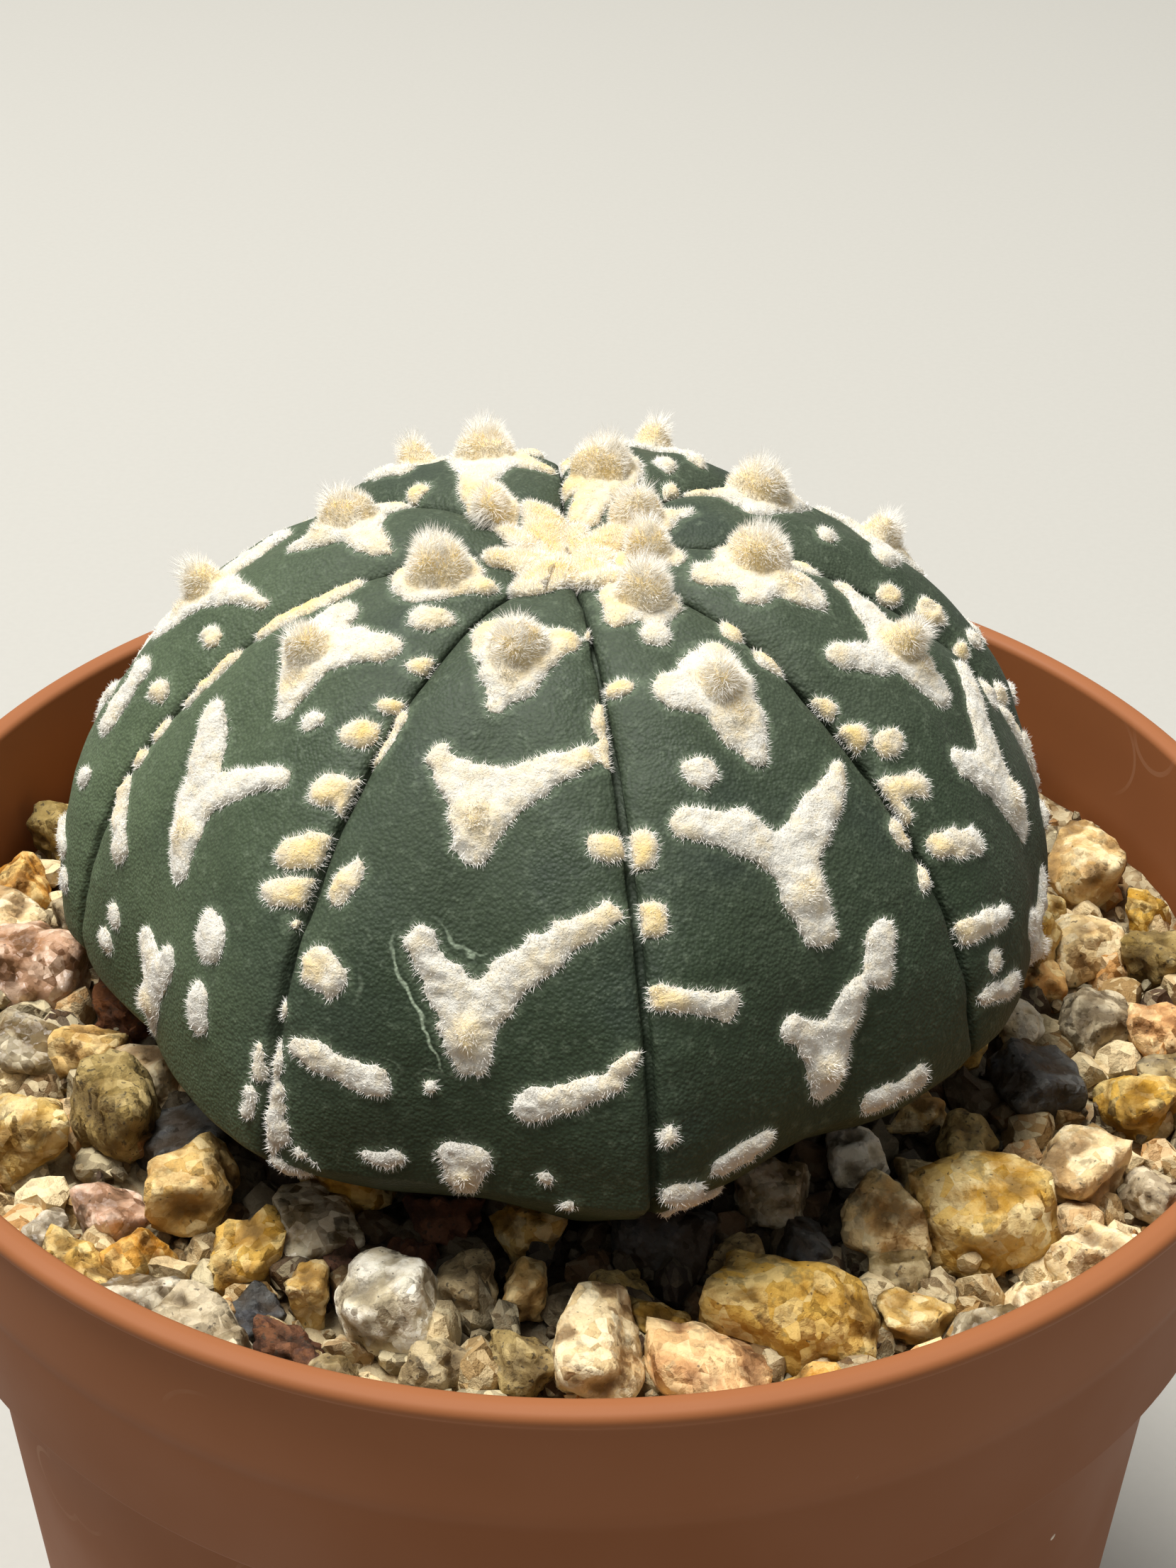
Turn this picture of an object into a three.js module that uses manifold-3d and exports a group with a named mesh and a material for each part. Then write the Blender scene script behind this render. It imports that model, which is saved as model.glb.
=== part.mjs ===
// Potted super kabuto star cactus, life size.
// Millimetres, +Z up. The origin is the centre of the pot's foot, on the surface it stands on.
// The plant's front is towards -Y.

import * as THREE from 'three';
import { mergeVertices } from 'three/addons/utils/BufferGeometryUtils.js';
import Module from 'manifold-3d';

const wasm = await Module();
wasm.setup();

// Pot: a moulded nursery pot, 100 mm across its lip.
const POT_HEIGHT = 86;
const LIP_RADIUS = 50;
const LIP_WIDTH = 1.8;
const LIP_DROP = 1.3;
const LIP_OVERHANG = 0.7;
const COLLAR_HEIGHT = 19.25;
const COLLAR_FOOT_RADIUS = 48.6;
const WALL = 1.2;
const BODY_TOP_RADIUS = 45.6;
const FOOT_RADIUS = 42.4;
const FOOT_RING_WIDTH = 5;
const FLOOR_RISE = 2;
const FLOOR_THICKNESS = 1.6;
const DRAIN_RADIUS = 4;
const DRAIN_RING_RADIUS = 27;
const DRAIN_COUNT = 6;
const POT_SEGMENTS = 40;
const DRAIN_SEGMENTS = 10;

// Fill: compost under a bed of grit. The gap keeps each piece clear of the next.
const GAP = 0.3;
const SOIL_TOP = POT_HEIGHT - 14;
const BED_TOP = POT_HEIGHT - 10.5;

// Plant body. Heights are measured from the lip of the pot, and the ribs stand round a
// slightly leaning axis.
const PLANT_X = -0.5;
const PLANT_Y = -1;
const LEAN_X = -0.02;
const LEAN_Y = 0.055;
const CROWN_HEIGHT = 26.6;
const CROWN_DIMPLE = 2.2;
const DIMPLE_RADIUS = 7;
const UNDERSIDE_DEPTH = 21.3;
const RIB_ROUNDNESS = 2.05;
const GROOVE_ROUNDNESS = 1.93;
const UNDERSIDE_ROUNDNESS = 1.2;
const GROOVE_DROP = 1.1;
const SHOULDER = 1;
const SHOULDER_FALL = 0.12;
const RIDGE_WIDTH = 0.3;
const RIDGE_FLATNESS = 0.5;
const SHOULDER_START = 0.35;
const SHOULDER_END = 1.9;
const SHOULDER_FADE = 0.6;
const CROWN_WAY = 0.0001;

// Root: height below the lip and radius of each ring.
const ROOT_RINGS = [[-21, 9.5], [-32, 6], [-50, 1.4]];
const ROOT_TIP = -52;
const ROOT_CLEARANCE = 0.6;
const HOLE_MOUTH_RADIUS = 24;
const HOLE_SHOULDER = [16, -19];
const HOLE_SEGMENTS = 20;
const PLANT_CLEARANCE = 1.1;

// Wool and felt on the skin.
const FELT_HEIGHT = 0.45;
const FELT_CROWN = 0.65;
const FELT_ROOT = 0.5;
const FELT_KEEL = 0.8;
const ARM_RADIUS = 1;
const TAIL_RADIUS = 0.6;
const LONG_LIMB = 5;
const NARROWEST_NOTCH = 0.7;
const TUFT_HEIGHT = 1.5;
const CROWN_WOOL_REACH = 2.6;
const CROWN_WOOL_HEIGHT = 1.1;
const CROWN_WOOL_ROOT = 1.5;

// The eight ribs, counted from the front left towards the right. crest and groove are the
// bearings of the rib's ridge and of the groove on its left, in degrees from +X. reach and
// groove_reach are their distances from the axis where the plant is widest, and waist is
// how far above the lip that is. The marks are in millimetres on the skin: across the rib
// from its ridge, and down the ridge from the crown.
//   tufts: [across, down, radius] of each woolly areole
//   vees:  [across, down] of the fork, of its left arm, right arm and tail, then its breadth
//   felt:  [across, down, radius] of each end of a felt strip
//   dots:  [across, down, radius] of each round mark
const RIBS = [
  { // Front left.
    crest: -101, reach: 31.8, waist: 0, groove: -123, groove_reach: 33.2,
    tufts: [[-0.5, 13.2, 1.8], [0, 6, 1.3]],
    vees: [[-0.4, 13, -2.4, 11.6, 2, 11.4, -0.5, 17.2, 2.3],
      [-0.5, 23.2, -4.2, 21.3, 5.8, 19.8, -1, 27.2, 1.3],
      [0.2, 36.2, -3.4, 32.3, 8, 28.9, 0.4, 39.2, 1.5], [0, 45.8, -1.1, 45, 1.1, 45, 0, 47.2, 0.9]],
    felt: [[-10.3, 39.2, 0.9, -5.4, 40.8, 0.9], [-9.3, 34.3, 1.2, -8.3, 34.9, 1.1],
      [4, 41, 1, 9, 38.6, 0.7], [6.3, 16.8, 1, 7.1, 19.3, 1], [-7.1, 18.9, 0.7, -8.3, 21.2, 0.8],
      [-11.8, 47.8, 0.9, -10.8, 48.6, 0.7]],
    dots: [[7.4, 25.1, 1.1], [-8.3, 29.3, 1.1], [4.2, 10.3, 0.9]],
  },
  { // Front right.
    crest: -60, reach: 31.5, waist: 1.5, groove: -81.5, groove_reach: 34.5,
    tufts: [[0.8, 17.6, 1.7], [1.2, 7.9, 1.5]],
    vees: [[0.8, 17.4, -3, 16.9, 2.2, 15, 0.7, 22.6, 2.1], [0.3, 29.2, -6, 24.6, 6, 25.2, 0.4, 34, 1.5],
      [-0.4, 40.7, -3, 38.4, 2.4, 37.6, -0.9, 43.2, 1.3]],
    felt: [[4.7, 35.1, 1.1, 3.9, 37, 1.1], [2.6, 45.3, 0.9, 6.3, 44.8, 0.8],
      [-8.6, 44.8, 0.8, -5.8, 44.6, 0.9], [-11, 32.9, 0.7, -6.9, 35.3, 0.9],
      [-11.8, 45.2, 0.8, -10.6, 45.8, 0.8]],
    dots: [[4.9, 14, 1.2], [6.2, 17, 1.4], [-3.5, 22.5, 1.1], [-0.6, 12.2, 1.1], [-5.1, 15.2, 1],
      [-8.6, 25, 1.1], [-9.6, 28.9, 1.1], [9, 29.9, 1], [9.8, 32.8, 0.9]],
  },
  { // Right.
    crest: -18, reach: 31.8, waist: 1.5, groove: -39.5, groove_reach: 32.3,
    tufts: [[2, 12.4, 1.8], [1.7, 22.9, 1.6], [0.4, 5.6, 1.3]],
    vees: [[1.2, 13, -1.6, 9.6, 4.4, 12, 0.8, 17, 2.1], [1.6, 23, -4.1, 19.6, 4.6, 18.4, 1.1, 27, 1.5],
      [0.6, 33.2, -3, 29.9, 6.4, 27.8, 1.5, 37.8, 1.5], [0.2, 45, -2.6, 42.6, 3.2, 42.4, 0.2, 47.4, 1.2]],
    felt: [[-11, 37.4, 0.9, -7.4, 38.7, 0.8], [-10.8, 42.3, 0.8, -7.6, 43.6, 0.9],
      [-9.2, 27.4, 1, -7.6, 28.4, 1], [-9.3, 32, 0.9, -6.8, 33.6, 0.9]],
    dots: [[5.8, 15.8, 1], [-6.9, 25.4, 1], [-8, 21.1, 1], [8.4, 31, 1], [7.6, 40.4, 1]],
  },
  { // Right, towards the back.
    crest: 29.5, reach: 34.2, waist: 1, groove: 6, groove_reach: 32.6,
    tufts: [[2.2, 16.4, 1.8], [0.8, 27, 1.6], [0.5, 6.1, 1.6]],
    vees: [[2, 16.2, -0.6, 14.4, 3.8, 13.2, 2.7, 20.8, 1.9],
      [0.6, 27.2, -5.2, 23.6, 3.6, 24, -0.4, 30.8, 1.5],
      [0.4, 38.6, -4.6, 35.2, 4.8, 34.4, 0.6, 42.2, 1.4], [-0.4, 48.8, -3.2, 46.8, 2.6, 46.6, -0.4, 51, 1.1]],
    felt: [[-12, 40.6, 0.9, -12, 44.6, 0.9]],
    dots: [[-3.9, 19, 1], [-9, 27.5, 1.4], [-11, 31, 1], [-12, 35.7, 1], [7.6, 22.4, 1.1], [9.6, 28, 1.2]],
  },
  { // Back right.
    crest: 72, reach: 35.5, waist: 2, groove: 51, groove_reach: 33,
    tufts: [[0.5, 10.6, 2], [0.8, 22.6, 1.7]],
    vees: [[0.5, 10.6, -1.8, 8.8, 2.8, 8.8, 0.6, 14, 2.2],
      [0.8, 22.8, -4.2, 19.4, 4.8, 19, 0.6, 26.6, 1.5],
      [0.2, 35, -5, 31.2, 5.6, 30.6, -0.4, 38.8, 1.5], [0.4, 46.4, -2.8, 44, 3.4, 43.8, 0.2, 49, 1.1]],
    felt: [[-9.4, 27.6, 0.9, -7.6, 30.2, 0.9], [8, 36.8, 0.9, 10.4, 39.2, 0.9]],
    dots: [[-2.8, 15.2, 1.1], [-5, 13, 1], [5.6, 15, 1.2], [-8.4, 22.6, 1.1], [8.2, 25.2, 1.2],
      [-10.2, 35.6, 1.1]],
  },
  { // Back left.
    crest: 118, reach: 34.8, waist: 2, groove: 92, groove_reach: 34.6,
    tufts: [[-2, 16, 1.8], [2.8, 7.1, 1.4], [-1, 27, 1.6]],
    vees: [[-2, 16, -4.4, 14.2, 0.6, 13.6, -1.6, 19.8, 2],
      [-1, 27.2, -5.6, 23.6, 4.4, 23.4, -0.8, 31, 1.5],
      [0.2, 38.8, -5.2, 34.8, 5.2, 35.2, 0.6, 42.6, 1.4], [0, 48.4, -2.8, 46.2, 3, 46.4, 0.2, 50.8, 1.1]],
    felt: [[4.6, 20.6, 0.9, 4, 18.4, 0.9], [-9.8, 31.6, 0.9, -7.4, 33.6, 0.9],
      [8.8, 29.8, 0.9, 10.8, 32.4, 0.9]],
    dots: [[5.2, 14.6, 0.9], [-7, 20, 1.1], [8.2, 22.8, 1], [-9.4, 27, 1.2], [-11.4, 38, 1]],
  },
  { // Left, towards the back.
    crest: 163.5, reach: 36, waist: -3, groove: 142, groove_reach: 34.2,
    tufts: [[-0.4, 15.6, 1.9], [2.6, 26.2, 1.8], [3.4, 9.6, 1.5]],
    vees: [[0.4, 15.2, -3.8, 14.2, 3.8, 12.8, 2.2, 18.8, 1.8],
      [2.6, 26.4, -1.8, 21.6, 7.6, 21.6, 4, 30.2, 1.7],
      [0.4, 40.4, -4.6, 36, 5.2, 36.2, 0.2, 44.4, 1.4], [0.2, 50.6, -2.8, 48.4, 3, 48.4, 0.2, 52.8, 1.1]],
    felt: [[7.6, 32, 1.1, 9.6, 36, 1.1], [9.1, 46.1, 0.9, 11.8, 45.8, 0.9],
      [-9.6, 30, 0.9, -7.8, 32.8, 0.9]],
    dots: [[11, 31, 0.9], [11.4, 40, 0.9], [-6.8, 20.4, 1.1], [-8.6, 25.4, 1.1], [-10.4, 38.4, 1.1]],
  },
  { // Left.
    crest: 209.5, reach: 31, waist: -1.5, groove: 189.5, groove_reach: 33.6,
    tufts: [[-0.2, 18.8, 1.7], [0.2, 7.4, 1.3]],
    vees: [[-0.1, 18.9, -1.9, 15.4, 4.4, 15.2, 2, 22.4, 1.8],
      [-0.2, 30.6, -3.8, 25.7, 5.8, 25.2, 2.2, 34.4, 1.9],
      [1.8, 42.6, -0.4, 40.6, 3.8, 39.5, 1, 45.8, 1.2]],
    felt: [[-9, 33.4, 1, -6.2, 36.8, 1], [-6.2, 19.4, 0.9, -5.2, 16.6, 0.9],
      [-7.4, 24.6, 0.7, -6.8, 22.2, 0.8], [10.2, 28.4, 1, 11.4, 27.2, 1],
      [10.8, 30.6, 0.9, 12.4, 29.8, 0.9], [8.4, 39.7, 1, 8.7, 40.7, 1]],
    dots: [[4.9, 21.6, 0.9], [-6, 43.6, 0.9], [7.6, 35.7, 1.6], [-8.6, 28.6, 0.9], [3.6, 12, 1.3],
      [8.3, 20.4, 1], [9.6, 24, 1.2]],
  },
];

// The stones that show most, each [x, y, width, depth, height, turn in degrees].
const PLACED_STONES = [
  [-39.5, -0.5, 8.6, 8, 6.5, 10], [-38, -9, 5.6, 6, 4.6, 40], [-33.8, -9.4, 4.6, 5, 4.6, 75],
  [-36.6, -18, 5.4, 7, 6.4, 20], [-30.6, -17, 6.2, 6.6, 7.4, 60], [-33.8, -26.6, 3, 3, 3, 15],
  [-29.8, -25.2, 4.4, 4, 4, 30], [-31.2, -30.2, 5.8, 4, 3.6, -30], [-24.6, -23.4, 6.8, 6.6, 6.4, 10],
  [-20.4, -29.3, 5.4, 4.6, 4.6, 25], [-27.6, -28.8, 4.2, 3.6, 4.4, 50], [-26.6, -33.2, 6.2, 4.2, 4.4, -25],
  [-22.6, -36.2, 6.6, 5, 4.6, -30], [-16.6, -31.3, 2.8, 4, 4, 5], [-19.8, -33.6, 3.6, 3.2, 2.8, 40],
  [-17.2, -36.4, 5.2, 3.6, 3, -8], [-11.4, -33.6, 7.2, 7, 6.6, -35], [-10.2, -29, 4.4, 3.4, 3, 0],
  [-14.6, -29.4, 2.8, 4, 3.4, 10], [-6.8, -31.4, 4.4, 5.4, 4.2, 15], [-3.2, -31.2, 2.8, 5, 3.8, 0],
  [-3.1, -37.6, 4.5, 4.4, 4.2, 0], [-8.4, -38, 4.8, 3.8, 3.8, 20], [-14.8, -39.6, 4, 3.8, 3.4, -15],
  [-9.2, -42.4, 4.6, 3, 3, -12], [-4.6, -42.8, 4.2, 3, 3, 0], [-18.8, -40.2, 3.4, 3, 2.6, -20],
  [1.4, -37.4, 5.6, 7.4, 6, 10], [7.9, -38.6, 7.2, 5.6, 5, 5], [6.2, -42.2, 4.2, 3.2, 3.4, 0],
  [2.6, -43.2, 3, 2.6, 2.4, 15], [5.6, -34.6, 4.4, 3.6, 2.8, 10], [2.2, -31.8, 5, 4.2, 3.2, 20],
  [13.4, -34.2, 10.4, 6.2, 6.4, -22], [13.6, -40.4, 4.6, 3.8, 3.4, 10], [14.4, -28, 3.4, 4.6, 4.2, 15],
  [10, -29, 4.2, 4, 3.6, 30], [19.4, -26.2, 5.4, 5.6, 5.8, 5], [26, -26.4, 8.2, 7.6, 7, 20],
  [22.2, -20.9, 3, 3, 3, 0], [26, -17.6, 4.8, 4.4, 3.6, 25], [32.6, -21, 6.4, 6.6, 5.8, 35],
  [37.2, -22.4, 3.8, 4, 3.6, 50], [32.6, -28.8, 5.8, 4.2, 4.2, 40], [29, -32.8, 3.8, 3.8, 3.4, 45],
  [24.8, -35.6, 4.4, 4.8, 4.2, 20], [20.6, -33.6, 4.6, 3.4, 3.4, 15], [19.4, -38.8, 6.2, 3.8, 3.4, 25],
  [20, -30, 4, 3.2, 2.8, 0], [31.4, -12.2, 6.8, 5.4, 5, 15], [37.8, -14, 5.4, 5.4, 4.8, 40],
  [41.4, -7, 4.8, 6, 5, 70], [36.8, -4.8, 6.2, 5.6, 4.8, 30], [37.8, 3.4, 5.8, 5.6, 5, 10],
  [33.8, 0.2, 3.2, 3.8, 3.8, 0], [42.6, 1.6, 4.8, 6, 5, 80], [39.4, 13, 7.8, 6.4, 6.2, 60],
  [35.4, 8, 3.6, 4.4, 4.2, 30], [43.2, 8.6, 3.6, 3.6, 3.4, 20], [-40.4, 17.6, 5, 6.6, 5.4, 60],
  [-42.8, 10.6, 4.4, 4.6, 4.4, 20], [-38.2, 7.4, 4, 4, 3.8, 45], [-36, 27, 5.2, 5, 4.4, 10],
];

// The rest of the grit lies in rings round the plant: [radius, count].
const STONE_RINGS = [[27, 22], [32, 26], [37.6, 29], [43.2, 34]];
const STONE_SEED = 4127;
const STONE_SMALL = 4.8;
const STONE_LARGE = 8.2;
const STONE_TILT = 50;
const STONE_SHARE_ABOVE = 0.3;
const STONE_SQUARENESS = 0.8;
const STONE_WALL_CLEARANCE = 0.5;

const COLOURS = { pot: 0xa8623f, soil: 0x4a3526, gravel: 0xc4a67c, cactus: 0x4c5a44 };

const toRadians = (degrees) => (degrees * Math.PI) / 180;
const clamp = (value, low, high) => Math.min(Math.max(value, low), high);
const mix = (a, b, share) => a + (b - a) * share;

// A repeatable draw between 0 and 1.
function makeDraw(seed) {
  let state = seed;
  return () => {
    state = (state * 1664525 + 1013904223) % 4294967296;
    return state / 4294967296;
  };
}

// Closed geometry to solid and back.
function toSolid(geometry) {
  const bare = geometry.clone();
  bare.deleteAttribute('normal');
  bare.deleteAttribute('uv');
  const merged = mergeVertices(bare, 1e-4);
  const mesh = new wasm.Mesh({
    numProp: 3,
    vertProperties: new Float32Array(merged.attributes.position.array),
    triVerts: new Uint32Array(merged.index.array),
  });
  return new wasm.Manifold(mesh);
}

function toGeometry(solid) {
  const mesh = solid.getMesh();
  const geometry = new THREE.BufferGeometry();
  geometry.setAttribute('position', new THREE.BufferAttribute(new Float32Array(mesh.vertProperties), 3));
  geometry.setIndex(new THREE.BufferAttribute(new Uint32Array(mesh.triVerts), 1));
  geometry.computeVertexNormals();
  return geometry;
}

function fuse(solids) {
  let level = solids;
  while (level.length > 1) {
    const next = [];
    for (let i = 0; i < level.length; i += 2) {
      next.push(i + 1 < level.length ? level[i].add(level[i + 1]) : level[i]);
    }
    level = next;
  }
  return level[0];
}

// The outer shell alone: a pocket sealed under a mark is filled, and a loose scrap dropped.
function outerShell(solid) {
  return solid.decompose().reduce((best, piece) => (piece.volume() > best.volume() ? piece : best));
}

// A closed skin from a pole, rings of equal count and a second pole.
function ringedSolid(firstPole, rings, lastPole) {
  const count = rings[0].length;
  const points = [firstPole, ...rings.flat(), lastPole];
  const faces = [];
  const last = points.length - 1;
  for (let i = 0; i < count; i += 1) {
    const j = (i + 1) % count;
    faces.push(0, 1 + i, 1 + j);
    for (let ring = 0; ring < rings.length - 1; ring += 1) {
      const a = 1 + ring * count;
      const b = a + count;
      faces.push(a + i, b + i, b + j, a + i, b + j, a + j);
    }
    const end = 1 + (rings.length - 1) * count;
    faces.push(end + i, last, end + j);
  }
  const geometry = new THREE.BufferGeometry();
  const flat = points.flatMap((point) => [point.x, point.y, point.z]);
  geometry.setAttribute('position', new THREE.BufferAttribute(new Float32Array(flat), 3));
  geometry.setIndex(faces);
  return toSolid(geometry);
}

function latheSolid(profile, segments) {
  const outline = profile.map(([radius, height]) => new THREE.Vector2(radius, height));
  const geometry = new THREE.LatheGeometry(outline, segments);
  geometry.rotateX(Math.PI / 2);
  return toSolid(geometry);
}

// Skin of the plant. rib is 0 to 7, side runs from -1 in the left groove over 0 on the ridge
// to 1 in the right groove, and way runs from 0 at the crown over 1 at the waist to 2 underneath.
function skinPoint(rib, side, way) {
  const here = RIBS[rib];
  const before = RIBS[(rib + 7) % 8];
  const after = RIBS[(rib + 1) % 8];
  const right = side >= 0;
  const groove = right ? after : here;
  const turn = right && rib === 7 ? 360 : 0;
  const spread = Math.abs(side);
  const share = spread * spread;
  const bearing = toRadians(mix(here.crest, groove.groove + turn, spread));
  const reach = mix(here.reach, groove.groove_reach, share);
  const grooveWaist = 0.5 * (here.waist + (right ? after : before).waist);
  const waist = 0.5 + mix(here.waist, grooveWaist, share);
  const roundness = mix(RIB_ROUNDNESS, GROOVE_ROUNDNESS, share);
  const rise = CROWN_HEIGHT + 0.5 - waist - GROOVE_DROP * share;
  const upper = (Math.min(way, 1) * Math.PI) / 2;
  const lower = (clamp(way - 1, 0, 0.999) * Math.PI) / 2;
  const above = way <= 1;
  let radius = above
    ? reach * Math.max(Math.sin(upper), 1e-9) ** (2 / roundness)
    : reach * Math.cos(lower) ** (2 / UNDERSIDE_ROUNDNESS);
  let height = above
    ? waist + rise * Math.max(Math.cos(upper), 1e-9) ** (2 / roundness)
    : waist - UNDERSIDE_DEPTH * Math.sin(lower) ** (2 / UNDERSIDE_ROUNDNESS);
  // The rib's two shoulders stand proud of the groove, and its ridge is a little flattened.
  const fall = 1 - Math.exp((spread - 1) / SHOULDER_FALL);
  const flank = fall * (1 - RIDGE_FLATNESS * Math.exp(-((side / RIDGE_WIDTH) ** 2)));
  const start = clamp(way / SHOULDER_START, 0, 1) ** 1.5;
  const swell = SHOULDER * start * clamp((SHOULDER_END - way) / SHOULDER_FADE, 0, 1) * flank;
  const facing = Math.min((clamp(way, 0, 1.6) * Math.PI) / 2, Math.PI * 0.55);
  radius += swell * Math.sin(facing);
  height += swell * Math.cos(facing);
  height -= CROWN_DIMPLE * Math.exp(-((radius / DIMPLE_RADIUS) ** 2));
  return new THREE.Vector3(
    PLANT_X + radius * Math.cos(bearing) + LEAN_X * height,
    PLANT_Y + radius * Math.sin(bearing) + LEAN_Y * height,
    height,
  );
}

function skinNormal(rib, side, way) {
  const step = 0.01;
  const low = clamp(side, -1 + step, 1 - step);
  const alongSide = skinPoint(rib, low + step, way).sub(skinPoint(rib, low - step, way));
  const alongWay = skinPoint(rib, side, way + step).sub(skinPoint(rib, side, Math.max(way - step, 0.001)));
  return alongWay.cross(alongSide).normalize();
}

// Millimetres down the ridge to the skin's own way, by walking the ridge once.
const RIDGE_STEPS = 360;
const RIDGE_END = 1.8;
const RIDGE_LENGTHS = RIBS.map((rib, index) => {
  const lengths = [0];
  let previous = skinPoint(index, 0, CROWN_WAY);
  for (let step = 1; step <= RIDGE_STEPS; step += 1) {
    const next = skinPoint(index, 0, (RIDGE_END * step) / RIDGE_STEPS);
    lengths.push(lengths[step - 1] + next.distanceTo(previous));
    previous = next;
  }
  return lengths;
});

function wayAt(rib, down) {
  const lengths = RIDGE_LENGTHS[rib];
  let step = 1;
  while (step < RIDGE_STEPS && lengths[step] < down) {
    step += 1;
  }
  const share = (down - lengths[step - 1]) / (lengths[step] - lengths[step - 1]);
  return (RIDGE_END * (step - 1 + share)) / RIDGE_STEPS;
}

function halfWidth(rib, way, sign) {
  const steps = 16;
  let length = 0;
  let previous = skinPoint(rib, 0, way);
  for (let step = 1; step <= steps; step += 1) {
    const next = skinPoint(rib, (sign * step) / steps, way);
    length += next.distanceTo(previous);
    previous = next;
  }
  return length;
}

const GROOVE_LIMIT = 0.97;

// The point at a height over the skin, found from millimetres across and down the rib.
function overSkin(rib, across, down, height) {
  const way = wayAt(rib, Math.max(down, 0.3));
  const sign = across < 0 ? -1 : 1;
  const side = clamp(across / halfWidth(rib, way, sign), -GROOVE_LIMIT, GROOVE_LIMIT);
  return skinPoint(rib, side, way).addScaledVector(skinNormal(rib, side, way), height);
}

// The plant's naked body with its root, swollen by a clearance where asked.
const SKIN_WAYS = [0.06, 0.15, 0.26, 0.38, 0.5, 0.62, 0.74, 0.87, 1, 1.1, 1.2, 1.32, 1.46, 1.62];
const SKIN_SIDES = [-1, -0.88, -0.55, -0.18, 0.18, 0.55, 0.88];
const ROOM_WAYS = [0.5, 1, 1.12, 1.25, 1.4, 1.62];
const ROOM_SIDES = [-1, -0.5, 0, 0.5];

function plantSolid(ways, sides, skinGrowth, rootGrowth) {
  const rings = ways.map((way) => {
    const ring = [];
    RIBS.forEach((rib, index) => {
      sides.forEach((side) => {
        const point = skinPoint(index, side, way);
        ring.push(point.addScaledVector(skinNormal(index, side, way), skinGrowth));
      });
    });
    return ring;
  });
  const bearings = RIBS.flatMap((rib, index) => sides.map((side) => {
    const point = skinPoint(index, side, 1.5);
    return Math.atan2(point.y - PLANT_Y, point.x - PLANT_X);
  }));
  ROOT_RINGS.forEach(([height, radius]) => {
    rings.push(bearings.map((bearing) => new THREE.Vector3(
      PLANT_X + (radius + rootGrowth) * Math.cos(bearing),
      PLANT_Y + (radius + rootGrowth) * Math.sin(bearing),
      height - rootGrowth,
    )));
  });
  const crown = skinPoint(0, 0, CROWN_WAY);
  crown.z += skinGrowth;
  const tip = new THREE.Vector3(PLANT_X, PLANT_Y, ROOT_TIP - rootGrowth);
  return ringedSolid(crown, rings, tip);
}

// A felt pad: an outline on the rib, raised over the skin from its centre and rooted under it.
// Down the rib is the outline's second axis, so it is turned round to face outwards.
function feltPad(rib, centre, outline, scales) {
  const outward = [...outline].reverse();
  const ring = (scale, height) => outward.map(([across, down]) => overSkin(
    rib,
    mix(centre[0], across, scale),
    mix(centre[1], down, scale),
    height,
  ));
  const rings = scales.map((scale) => ring(scale, mix(FELT_CROWN, FELT_HEIGHT, scale)));
  const top = overSkin(rib, centre[0], centre[1], FELT_CROWN);
  const bottom = overSkin(rib, centre[0], centre[1], -FELT_KEEL);
  return ringedSolid(top, [...rings, ring(1.05, -FELT_ROOT)], bottom);
}

// A strip with rounded ends.
function feltStrip(rib, [across0, down0, radius0, across1, down1, radius1], draw) {
  const heading = Math.atan2(down1 - down0, across1 - across0);
  const ends = [[across1, down1, radius1, heading], [across0, down0, radius0, heading + Math.PI]];
  const outline = ends.flatMap(([across, down, radius, facing]) => [-80, -28, 28, 80].map((degrees) => {
    const angle = facing + toRadians(degrees);
    const wobble = radius * (0.92 + 0.16 * draw());
    return [across + wobble * Math.cos(angle), down + wobble * Math.sin(angle)];
  }));
  return feltPad(rib, [(across0 + across1) / 2, (down0 + down1) / 2], outline, [0.8]);
}

function feltDot(rib, [across, down, radius], draw) {
  const outline = Array.from({ length: 6 }, (unused, index) => {
    const angle = (index / 6) * 2 * Math.PI;
    const wobble = radius * (0.94 + 0.16 * draw());
    return [across + wobble * Math.cos(angle), down + wobble * Math.sin(angle)];
  });
  return feltPad(rib, [across, down], outline, [0.75]);
}

// A woolly areole: a rough tuft on the ridge.
function tuft(rib, [across, down, radius], draw) {
  const sides = 6;
  const ring = (scale, height) => Array.from({ length: sides }, (unused, index) => {
    const angle = (-index / sides) * 2 * Math.PI;
    const reach = radius * scale * (0.85 + 0.3 * draw());
    return overSkin(rib, across + reach * Math.cos(angle), down + reach * Math.sin(angle), height);
  });
  const top = overSkin(rib, across, down, TUFT_HEIGHT);
  const bottom = overSkin(rib, across, down, -FELT_KEEL);
  return ringedSolid(top, [ring(0.7, TUFT_HEIGHT * 0.8), ring(1, -FELT_ROOT)], bottom);
}

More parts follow.
